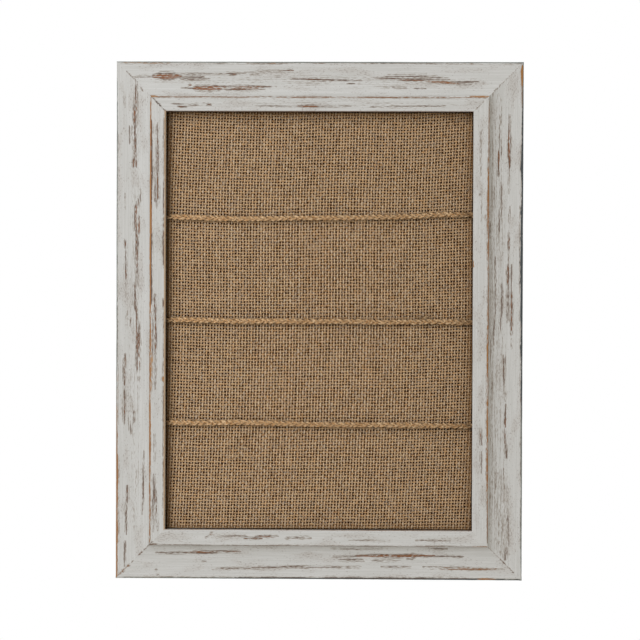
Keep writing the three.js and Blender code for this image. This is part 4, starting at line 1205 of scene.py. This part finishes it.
# How far the wear reaches to each side of a rub's and a crack's middle in parts of its width, and the share
# of that reach that is left at its ends.
RUB_REACH, RUB_END = 0.75, 0.15
CRACK_REACH, CRACK_END = 0.5, 0.4
# The power by which a rub tapers, and the part of the taper from which on rubs and cracks have full depth.
RUB_TAPER = 0.6
FULL_DEPTH = 0.25
# The least half widths that the mesh can show.
LEAST_RUB = 0.34
LEAST_CRACK = 0.25
# Rubs lie this far apart in the noise, and each kind of noise has a seed counted on from the rail's.
RUB_APART = 3.7
STRAY_SEED = 20
CRACK_SEED = 40


def rub(wear, gold, distance, half, fade, depth, golden):
    """Adds a rub to the wear so far, from the distance to its middle, its half width and how it dies out."""
    inside = depth * np.clip(2 * (1 - distance / half), 0, 1)
    scuffed = HALO * min(depth, HALO_DEPTH) * np.clip(1 - (distance - half) / HALO_REACH, 0, 1)
    value = np.maximum(inside, scuffed) * fade
    gold[:] = np.where(value > wear, golden, gold)
    wear[:] = np.maximum(wear, value)


def rail_wear(along, across, forward, length, name):
    """How far each point of a rail is rubbed through, and what kind of wood shows there."""
    wear, gold = np.zeros_like(along), np.zeros_like(along)
    # Down the outer side the distance from the edge counts on below zero.
    spread = across - np.clip(EDGE_HEIGHT - OUTER_ROUND - forward, 0, None)
    first, last, seed = RAIL_ENDS[name]
    for number, (start, end, from_edge, to_edge, width, depth, *golden) in enumerate(RUBS[name]):
        t = np.clip((along - start) / (end - start), 0, 1)
        line = np.full_like(along, RUB_APART * number)
        taper = np.clip(np.sin(np.pi * t), 0, 1) ** RUB_TAPER
        ragged = 1 + RUB_RAGGED * smooth_noise(along / RUB_RAGGED_LENGTH, line, seed)
        stray = RUB_STRAY * width * smooth_noise(along / RUB_STRAY_LENGTH, line, seed + STRAY_SEED)
        middle = from_edge + (to_edge - from_edge) * t + stray
        reach = RUB_REACH * width * (RUB_END + (1 - RUB_END) * taper)
        half = np.maximum(reach * ragged, LEAST_RUB)
        # Sanding the lip's arris leaves the paint in the cove behind it alone.
        sheltered = (across < LIP_START + 0.01) & (from_edge > LIP_START)
        fade = np.where(sheltered, 0, np.minimum(1, taper / FULL_DEPTH))
        rub(wear, gold, np.abs(spread - middle), half, fade, depth, golden[0] if golden else 0)
    # Cracks lie along the mitres, where a point is as far from the rail's end as from its outer edge.
    for corner, gap in ((first, along - across), (last, length - along - across)):
        for start, end, width, depth, *golden in CRACKS[corner]:
            t = np.clip((across - start) / (end - start), 0, 1)
            taper = np.sqrt(np.clip(np.sin(np.pi * t), 0, 1))
            noise = smooth_noise(across / CRACK_RAGGED_LENGTH, 0 * across, seed + CRACK_SEED)
            ragged = 1 + CRACK_RAGGED * noise
            reach = CRACK_REACH * width * (CRACK_END + (1 - CRACK_END) * taper)
            half = np.maximum(reach * ragged, LEAST_CRACK)
            fade = np.minimum(1, taper / FULL_DEPTH)
            rub(wear, gold, np.abs(gap), half, fade, depth, golden[0] if golden else 0)
    inner = across > RAIL_WIDTH - INNER_ARRIS[name]
    down_wall = INNER_WEAR * np.clip(1 - (RAIL_DEPTH - INNER_FULL - forward) / INNER_FADE, INNER_LEAST, 1)
    return np.where(inner, down_wall, wear), np.where(inner, INNER_GOLD[name], gold)


print("rubs on all rails", sum(len(rubs) for rubs in RUBS.values()))

# %% [markdown]
# ## The rubbed paint
#
# The paint is a chalky white over soft wood, brushed on along the rail and sanded back by hand. It is
# matt, with faint brush lines and fine dust-like specks. Round each rub it thins to a grey-brown veil,
# then dark wood shows, and where the rub is deepest the wood is a clean reddish brown. At the outer edge
# a grey-green first coat shows instead. Over that come golden wood, pale raw wood or a dark crack, where
# the list of rubs asks for them. The mesh's wear says where the paint is gone, and noise drawn out along
# the grain breaks the outline into fibres: a sharp outline would look like a sticker. The grain attribute
# counts millimetres along and across the rail, so the lengths below are real.

# %% The rubbed paint's material
def grain_noise(tree, grain, length, width, detail):
    """Noise drawn out along the grain, with features this long and wide in millimetres."""
    drawn_out = add_node(
        tree, "ShaderNodeVectorMath", {0: grain, 1: (1 / length, 1 / width, 1)}, operation="MULTIPLY")
    noise = add_node(tree, "ShaderNodeTexNoise", {"Vector": drawn_out, "Scale": 1.0, "Detail": detail})
    return noise.outputs["Fac"]


def rubbed_paint():
    """White chalk paint on wood, rubbed back where the mesh says."""
    material, tree, shader = new_material("rubbed_chalk_paint", 0.6)
    grain = add_node(tree, "ShaderNodeAttribute", attribute_name="grain").outputs["Vector"]
    wear = add_node(tree, "ShaderNodeAttribute", attribute_name="wear").outputs["Fac"]
    gold = add_node(tree, "ShaderNodeAttribute", attribute_name="gold").outputs["Fac"]
    girth = add_node(tree, "ShaderNodeSeparateXYZ", {0: grain}).outputs["Y"]
    # Noise of several lengths and widths: streaks and fibres of the wood, brush lines, clouds and specks.
    streak = grain_noise(tree, grain, 26.0, 0.7, 3.0)
    fibre = grain_noise(tree, grain, 3.2, 0.5, 2.0)
    brush = grain_noise(tree, grain, 40.0, 0.9, 2.0)
    cloudy = grain_noise(tree, grain, 26.0, 8.0, 2.0)
    speck = grain_noise(tree, grain, 1.8, 0.55, 2.0)
    # The wear with its outline broken up, the more so the more worn a place is.
    uneven = add_node(tree, "ShaderNodeMath", {0: fibre, 1: 0.8, 2: streak}, operation="MULTIPLY_ADD")
    uneven = add_node(tree, "ShaderNodeMath", {0: uneven, 1: 0.9}, operation="SUBTRACT")
    spread = add_node(tree, "ShaderNodeMath", {0: wear, 1: 1.0}, operation="MINIMUM")
    spread = add_node(tree, "ShaderNodeMath", {0: spread, 1: 3.4, 2: 0.5}, operation="MULTIPLY_ADD")
    broken = add_node(tree, "ShaderNodeMath", {0: wear, 1: 0.85}, operation="MULTIPLY")
    broken = add_node(tree, "ShaderNodeMath", {0: uneven, 1: spread, 2: broken}, operation="MULTIPLY_ADD")
    # The colours of the paint, of the thin coat round a rub, and of the bare wood.
    dusty = add_node(tree, "ShaderNodeMath", {0: cloudy, 1: 0.5, 2: speck}, operation="MULTIPLY_ADD")
    paint = coat(tree, linear("#C0BFBA"), linear("#C9C8C4"), brush, 0.35, 0.65)
    paint = coat(tree, paint, linear("#BDBAB4"), cloudy, 0.5, 0.7)
    paint = coat(tree, paint, linear("#9C948D"), dusty, 0.85, 0.98)
    first_coat = coat(tree, linear("#868A84"), linear("#6C726D"), streak, 0.4, 0.6)
    thin = coat(tree, linear("#9F978D"), first_coat, girth, EDGE_HEIGHT + 0.7, EDGE_HEIGHT - 0.1)
    core = add_node(tree, "ShaderNodeMath", {0: fibre, 1: 0.8, 2: wear}, operation="MULTIPLY_ADD")
    bare = coat(tree, linear("#6E6056"), linear("#573F2D"), wear, 0.6, 0.9)
    bare = coat(tree, bare, linear("#7E4E2A"), core, 1.24, 1.42)
    bare = coat(tree, bare, first_coat, girth, EDGE_HEIGHT + 0.7, EDGE_HEIGHT - 0.1)
    bare = coat(tree, bare, linear("#9C6B36"), gold, 0.0, 1.0)
    bare = coat(tree, bare, linear("#C4AE92"), gold, 1.2, 2.0)
    # Under a crack: dark wood, or at the outer edge dark slate, partly grey first coat and partly painted
    # shade on the edges that face away from the lamp.
    dark = coat(tree, linear("#3A2C23"), linear("#34393A"), girth, EDGE_HEIGHT + 1.6, EDGE_HEIGHT + 1.2)
    bare = coat(tree, bare, dark, gold, -0.4, -0.9)
    # The three laid over each other.
    colour = coat(tree, paint, thin, broken, 0.22, 0.42)
    colour = coat(tree, colour, bare, broken, 0.46, 0.75)
    tree.links.new(colour, shader.inputs["Base Color"])
    height = add_node(tree, "ShaderNodeMath", {0: brush, 1: 0.5, 2: fibre}, operation="MULTIPLY_ADD")
    bump = add_node(tree, "ShaderNodeBump", {"Strength": 0.25, "Distance": 0.15 * MM, "Height": height})
    tree.links.new(bump.outputs["Normal"], shader.inputs["Normal"])
    return material


chalk_paint = rubbed_paint()
print(chalk_paint.name, len(chalk_paint.node_tree.nodes), "nodes")

# %% [markdown]
# The back of the rails and the rebate were never painted: planed softwood, straw coloured, with long
# darker lines of summer growth. A picture of wood would repeat along the rails, so noise drawn out along
# the grain gives the lines, and finer noise the pores.

# %% The bare softwood's material
def planed_softwood():
    """Bare softwood with growth lines and fine pores along the grain."""
    material, tree, shader = new_material("planed_softwood", 0.7)
    grain = add_node(tree, "ShaderNodeAttribute", attribute_name="grain").outputs["Vector"]
    rings = grain_noise(tree, grain, 60.0, 1.8, 3.0)
    pores = grain_noise(tree, grain, 4.0, 0.25, 2.0)
    straw = coat(tree, linear("#DEC59C"), linear("#C29D6C"), rings, 0.4, 0.62)
    straw = coat(tree, straw, linear("#A9855A"), pores, 0.58, 0.78)
    tree.links.new(straw, shader.inputs["Base Color"])
    bump = add_node(tree, "ShaderNodeBump", {"Strength": 0.3, "Distance": 0.1 * MM, "Height": pores})
    tree.links.new(bump.outputs["Normal"], shader.inputs["Normal"])
    return material


bare_pine = planed_softwood()
print(bare_pine.name)

# %% [markdown]
# ## The four rails
#
# Each rail is the section's grid along its length, shorter towards the opening because its ends are cut
# at 45 degrees. Rubbed wood lies a little lower than the paint, and hand-painted wood isn't quite true,
# so the points move in along the section's own normals before the mesh is made.

# %% A rail's place and its normals
def section_normals(outline):
    """Outward normals of a closed outline that runs clockwise as (across, forward)."""
    run = np.roll(outline, -1, axis=0) - np.roll(outline, 1, axis=0)
    normals = np.stack([-run[:, 1], run[:, 0]], axis=1)
    return normals / np.linalg.norm(normals, axis=1)[:, None]


def rail_place(name, along, across, forward):
    """Points of a rail, in metres in the row frame, from its own measures."""
    level, upright = FRAME_WIDTH / 2, FRAME_HEIGHT / 2
    if name == "rail_top":
        return place(along - level, forward, upright - across)
    if name == "rail_bottom":
        return place(along - level, forward, across - upright)
    if name == "rail_left":
        return place(across - level, forward, upright - along)
    return place(level - across, forward, upright - along)


outward = section_normals(section)
print("normals round the section", len(outward))

# %% The four rails
STATION = 0.85
MITRE_FADE = 3.0
RUB_DEPTH = 0.14
# The wood starts to sink at this wear, and lies lowest from a wear of 1 on.
SINK_START = 0.375
# The waves and the roughness of the paint: how high, how long along the rail and how long across it.
WAVE_HEIGHT, WAVE_LENGTH, WAVE_GIRTH = 0.1, 23, 9
ROUGH_HEIGHT, ROUGH_LENGTH, ROUGH_GIRTH = 0.04, 3, 0.8
WAVE_SEED = 60
ROUGH_SEED = 70
# Rails lie this far apart in the grain's noise.
GRAIN_APART = 13
SHARP_ANGLE = 50


def make_rail(name, length):
    """One mitred length of the moulding, with its wear."""
    stations = round(length / STATION)
    seed = RAIL_ENDS[name][2]
    # A grid of points: round the section, and from mitre to mitre along the rail.
    across, forward = (np.tile(section[:, k], (stations + 1, 1)) for k in (0, 1))
    share = np.linspace(0, 1, stations + 1)[:, None]
    along = across + (length - 2 * across) * share
    wear, gold = rail_wear(along, across, forward, length, name)
    girth = np.concatenate([[0], np.linalg.norm(np.diff(section, axis=0), axis=1).cumsum()])
    front = np.arange(len(section)) < painted_count
    wear = np.where(front, wear, 0)
    # Worn and wavy paint moves in, but not at the mitres, where two rails have to meet.
    uneven = WAVE_HEIGHT * smooth_noise(along / WAVE_LENGTH, girth / WAVE_GIRTH + 0 * along, seed + WAVE_SEED)
    rough = smooth_noise(along / ROUGH_LENGTH, girth / ROUGH_GIRTH + 0 * along, seed + ROUGH_SEED)
    uneven = uneven + ROUGH_HEIGHT * rough
    sunk = RUB_DEPTH * np.clip((wear - SINK_START) / (1 - SINK_START), 0, 1) + np.abs(uneven)
    to_mitre = np.minimum(along - across, length - across - along)
    inward = np.where(front, sunk * np.clip(to_mitre / MITRE_FADE, 0, 1), 0)
    points = rail_place(name, along, across - outward[:, 0] * inward, forward - outward[:, 1] * inward)
    # Faces between neighbouring points, and one across each end.
    count = len(section)
    corner = np.arange(stations)[:, None] * count + np.arange(count)
    beside = np.arange(stations)[:, None] * count + (np.arange(count) + 1) % count
    quads = np.stack([corner, beside, beside + count, corner + count], axis=-1).reshape(-1, 4)
    ends = [list(range(count)), list(range(stations * count, (stations + 1) * count))]
    data = bpy.data.meshes.new(name + "_moulding")
    data.from_pydata(points.reshape(-1, 3).tolist(), [], quads.tolist() + ends)
    # What the materials read.
    for label, values in (("wear", wear), ("gold", gold)):
        data.attributes.new(label, "FLOAT", "POINT").data.foreach_set("value", values.ravel())
    grain = np.stack([along + GRAIN_APART * seed, girth + 0 * along, 0 * along + seed], axis=-1)
    data.attributes.new("grain", "FLOAT_VECTOR", "POINT").data.foreach_set("vector", grain.ravel())
    data.materials.append(chalk_paint)
    data.materials.append(bare_pine)
    unpainted = np.concatenate([np.tile(~front, stations), [True, True]]).astype(np.int32)
    data.polygons.foreach_set("material_index", unpainted)
    # All faces turned outwards, and shaded smoothly except at sharp edges.
    turned = bmesh.new()
    turned.from_mesh(data)
    bmesh.ops.recalc_face_normals(turned, faces=turned.faces)
    turned.to_mesh(data)
    turned.free()
    data.shade_smooth()
    data.set_sharp_from_angle(angle=math.radians(SHARP_ANGLE))
    rail = bpy.data.objects.new(name + "_moulding", data)
    scene.collection.objects.link(rail)
    settle(rail, "board", "distressed_painted_wood", name)
    return rail


for name in RAIL_ENDS:
    rail = make_rail(name, FRAME_WIDTH if name in ("rail_top", "rail_bottom") else FRAME_HEIGHT)
    print(rail.name, 2 * len(rail.data.polygons), "triangles")

# %% [markdown]
# ## Steel and hardboard
#
# The hardware on the back is small pressed and turned steel. Zinc plate is a cool, slightly cloudy grey,
# and brass plate is warm and cloudy in the same way. A mirror finish would look chromed, so noise makes
# the plate rougher in places. Hardboard is pressed wood fibre, brown and matt, with the print of a wire
# screen on its rough side. These pieces keep their CAD shapes, which are fine enough for their size.

# %% The hardware's materials
CLOUD_SIZE = 2.5
MARK_SIZE = 0.3
CLOUD_ROUGHNESS = 0.3


def plated_steel(name, colour, cloud, roughness):
    """Plated steel: a bright metal with faint clouds and fine rubbing marks."""
    material, tree, shader = new_material(name, roughness, 1.0)
    spot = add_node(tree, "ShaderNodeTexCoord").outputs["Object"]
    clouds = add_node(tree, "ShaderNodeTexNoise", {
        "Vector": spot, "Scale": 1 / (CLOUD_SIZE * MM), "Detail": 3.0})
    marks = add_node(tree, "ShaderNodeTexNoise", {
        "Vector": spot, "Scale": 1 / (MARK_SIZE * MM), "Detail": 2.0})
    tint = add_node(tree, "ShaderNodeMix", {0: clouds, 6: linear(colour), 7: linear(cloud)}, data_type="RGBA")
    tree.links.new(tint.outputs[2], shader.inputs["Base Color"])
    rough = add_node(tree, "ShaderNodeMath", {
        0: clouds, 1: CLOUD_ROUGHNESS, 2: roughness - CLOUD_ROUGHNESS / 2}, operation="MULTIPLY_ADD")
    tree.links.new(rough.outputs[0], shader.inputs["Roughness"])
    bump = add_node(tree, "ShaderNodeBump", {"Strength": 0.15, "Distance": 0.05 * MM, "Height": marks})
    tree.links.new(bump.outputs["Normal"], shader.inputs["Normal"])
    return material


zinc_steel = plated_steel("zinc_plated_steel", "#C4C8CB", "#9FA4A8", 0.38)
brass_steel = plated_steel("brass_plated_steel", "#C0A468", "#8C7142", 0.34)
print(zinc_steel.name, brass_steel.name)

# %% Hardboard, and what is made of what
PULP_SIZE = 1.3
SCREEN_PITCH = 1.6
hardboard, tree, shader = new_material("screen_backed_hardboard", 0.8)
spot = add_node(tree, "ShaderNodeTexCoord").outputs["Object"]
pulp = add_node(tree, "ShaderNodeTexNoise", {"Vector": spot, "Scale": 1 / (PULP_SIZE * MM), "Detail": 5.0})
brown = coat(tree, linear("#755538"), linear("#876546"), pulp, 0.3, 0.7)
tree.links.new(brown, shader.inputs["Base Color"])
screen = add_node(tree, "ShaderNodeVectorMath", {0: spot, 1: (2 * math.pi / (SCREEN_PITCH * MM),) * 3},
                  operation="MULTIPLY")
screen = add_node(tree, "ShaderNodeSeparateXYZ", {
    0: add_node(tree, "ShaderNodeVectorMath", {0: screen}, operation="SINE")})
print_height = add_node(
    tree, "ShaderNodeMath", {0: screen.outputs["X"], 1: screen.outputs["Z"]}, operation="MAXIMUM")
bump = add_node(tree, "ShaderNodeBump", {"Strength": 0.5, "Distance": 0.15 * MM, "Height": print_height})
tree.links.new(bump.outputs["Normal"], shader.inputs["Normal"])
FINISHES = {
    "back_panel": hardboard, "board_core": hardboard, "turn_button": brass_steel, "button_screw": brass_steel,
    "sawtooth_hanger": zinc_steel, "hanger_nail": zinc_steel, "twine_staple": zinc_steel}
for name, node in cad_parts.items():
    for start, material in FINISHES.items():
        if name.startswith(start):
            node.data.materials.clear()
            node.data.materials.append(material)
print("dressed", len(FINISHES), "kinds of hardware")

# %% [markdown]
# ## The corner wedges
#
# Two folded steel strips are pressed into each mitre from behind, and their edges show as small angles in
# the wood. One strip is two thin plates that meet in a right angle. The tree puts a copy on each given
# point and turns it by the angle stored there, a quarter turn from corner to corner. The rails drawn here
# have no pockets for the wedges, so the strips stand a hair proud of the wood to show.

# %% The corner wedges
WEDGE_LEG = 5.0
WEDGE_STRIP = 0.6
WEDGE_DEPTH = 8.0
WEDGE_PROUD = 0.05
# For each corner: which way it lies from the middle, right and up, and how far round its wedges are turned.
CORNERS = {
    "right_top": (1, 1, 0), "bottom_right": (1, -1, math.pi / 2), "left_bottom": (-1, -1, math.pi),
    "top_left": (-1, 1, 3 * math.pi / 2)}


def wedge_tree():
    """Folded strips on points: one leg to the left of its fold, the other below, both driven forwards."""
    tree, given = new_tree("corner_wedges", {
        "Leg": "Float", "Strip": "Float", "Depth": "Float", "Material": "Material"})
    half_leg, half_strip, half_depth = (
        add_node(tree, "ShaderNodeMath", {0: given[name], 1: -0.5}, operation="MULTIPLY")
        for name in ("Leg", "Strip", "Depth"))
    rest = add_node(tree, "ShaderNodeMath", {0: given["Leg"], 1: given["Strip"]}, operation="SUBTRACT")
    below = add_node(tree, "ShaderNodeMath", {0: rest, 1: -0.5, 2: half_strip}, operation="MULTIPLY_ADD")
    below = add_node(tree, "ShaderNodeMath", {0: below, 1: half_strip}, operation="ADD")
    level = add_node(tree, "GeometryNodeMeshCube", {
        "Size": add_node(tree, "ShaderNodeCombineXYZ", {
            "X": given["Leg"], "Y": given["Depth"], "Z": given["Strip"]})})
    level = add_node(tree, "GeometryNodeTransform", {
        "Geometry": level, "Translation": add_node(tree, "ShaderNodeCombineXYZ", {
            "X": half_leg, "Y": half_depth, "Z": half_strip})})
    upright = add_node(tree, "GeometryNodeMeshCube", {
        "Size": add_node(tree, "ShaderNodeCombineXYZ", {
            "X": given["Strip"], "Y": given["Depth"], "Z": rest})})
    upright = add_node(tree, "GeometryNodeTransform", {
        "Geometry": upright, "Translation": add_node(tree, "ShaderNodeCombineXYZ", {
            "X": half_strip, "Y": half_depth, "Z": below})})
    strip = add_node(tree, "GeometryNodeJoinGeometry")
    for leg in (level, upright):
        tree.links.new(leg.outputs["Geometry"], strip.inputs["Geometry"])
    turn = add_node(tree, "GeometryNodeInputNamedAttribute", {"Name": "turn"})
    copies = add_node(tree, "GeometryNodeInstanceOnPoints", {
        "Points": add_node(tree, "GeometryNodeMeshToPoints", {"Mesh": given["Geometry"]}), "Instance": strip,
        "Rotation": add_node(tree, "ShaderNodeCombineXYZ", {"Y": turn})})
    solid = add_node(tree, "GeometryNodeRealizeInstances", {"Geometry": copies})
    coloured = add_node(tree, "GeometryNodeSetMaterial", {"Geometry": solid, "Material": given["Material"]})
    add_node(tree, "NodeGroupOutput", {"Geometry": coloured})
    return tree


folds, turns, wedge_nodes = [], [], []
for corner, (right, up, turn) in CORNERS.items():
    for where in ("outer", "inner"):
        node = f"corner_wedge_{corner}_{where}"
        low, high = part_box(node)
        across, level = (high if right > 0 else low).x, (high if up > 0 else low).z
        folds.append((across, MIDDLE.y + WEDGE_PROUD * MM, level))
        turns.append(turn)
        wedge_nodes.append(node)
dots = dot_mesh("wedge_folds", np.array(folds))
dots.attributes.new("turn", "FLOAT", "POINT").data.foreach_set("value", turns)
wedges = grow("corner_wedges", wedge_tree(), dots, {
    "Leg": WEDGE_LEG * MM, "Strip": WEDGE_STRIP * MM, "Depth": WEDGE_DEPTH * MM, "Material": zinc_steel})
settle(wedges, "board", "zinc_plated_steel", *wedge_nodes)
print(wedges.name, len(wedges.data.polygons), "faces for", len(wedge_nodes), "wedges")

# %% [markdown]
# ## Light, floor and background
#
# The photo was lit by one soft lamp from the upper left and plenty of white fill, on white. The lamp is a
# square area light, and the world gives the fill. To the camera, and in reflections, the world is plain
# white. The floor lies below the hanging board, pale, and fades out at its rim, so it keeps the shadow
# without a hard edge.

# %% The lamp
KEY_DIRECTION = Vector((-0.52, -1.0, 0.6)).normalized()
KEY_DISTANCE = 2.3
KEY_SIZE = 1.4
KEY_POWER = 32.4
KEY_COLOUR = "#F0F5FF"
board_middle = Vector((0, (cad_low.y + cad_high.y) / 2, (cad_low.z + cad_high.z) / 2))
lamp = bpy.data.objects.new("key_light", bpy.data.lights.new("key_light", "AREA"))
lamp.data.energy = KEY_POWER
lamp.data.color = linear(KEY_COLOUR)[:3]
lamp.data.size = KEY_SIZE
lamp.location = board_middle + KEY_DIRECTION * KEY_DISTANCE
lamp.rotation_euler = (-KEY_DIRECTION).to_track_quat("-Z", "Y").to_euler()
scene.collection.objects.link(lamp)
print("lamp", [round(v, 2) for v in lamp.location])

# %% The world
FILL = 0.52
FILL_COLOUR = "#FFF9EE"
world = bpy.data.worlds.new("studio")
world.use_nodes = True
tree = world.node_tree
tree.nodes.clear()
rays = add_node(tree, "ShaderNodeLightPath").outputs
seen = add_node(
    tree, "ShaderNodeMath", {0: rays["Is Camera Ray"], 1: rays["Is Glossy Ray"]}, operation="MAXIMUM")
seen = add_node(tree, "ShaderNodeMath", {0: seen, 1: rays["Is Transmission Ray"]}, operation="MAXIMUM")
fill = add_node(tree, "ShaderNodeBackground", {"Color": linear(FILL_COLOUR), "Strength": FILL})
white = add_node(tree, "ShaderNodeBackground", {"Color": linear("#FFFFFF"), "Strength": 1.0})
background = add_node(tree, "ShaderNodeMixShader", {0: seen, 1: fill, 2: white})
add_node(tree, "ShaderNodeOutputWorld", {"Surface": background})
scene.world = world
print(scene.world.name, "fill", FILL)

# %% The floor
FLOOR_DROP = 0.12
FLOOR_RADIUS = 0.5
# In parts of the radius: where the floor starts to fade, and where it is gone.
FADE_START, FADE_END = 0.55, 0.98
floor_mesh = bmesh.new()
bmesh.ops.create_circle(floor_mesh, cap_ends=True, segments=96, radius=FLOOR_RADIUS)
floor_data = bpy.data.meshes.new("floor")
floor_mesh.to_mesh(floor_data)
floor_mesh.free()
floor_data.transform(Matrix.Translation((0, 0, cad_low.z - FLOOR_DROP)))
floor = bpy.data.objects.new("floor", floor_data)
scene.collection.objects.link(floor)
pale_floor, tree, shader = new_material("pale_floor", 0.9)
spot = add_node(tree, "ShaderNodeTexCoord").outputs["Object"]
flat = add_node(tree, "ShaderNodeVectorMath", {0: spot, 1: (1, 1, 0)}, operation="MULTIPLY")
radius = add_node(tree, "ShaderNodeVectorMath", {0: flat}, operation="LENGTH").outputs["Value"]
fade = add_node(tree, "ShaderNodeMapRange", {
    "Value": radius, "From Min": FLOOR_RADIUS * FADE_START, "From Max": FLOOR_RADIUS * FADE_END},
    interpolation_type="SMOOTHSTEP")
shader.inputs["Base Color"].default_value = linear("#F4F3F1")
clear = add_node(tree, "ShaderNodeBsdfTransparent")
output = tree.nodes["Material Output"]
faded = add_node(tree, "ShaderNodeMixShader", {0: fade, 1: shader, 2: clear})
tree.links.new(faded.outputs[0], output.inputs["Surface"])
floor_data.materials.append(pale_floor)
print("floor", round(cad_low.z - FLOOR_DROP, 3))
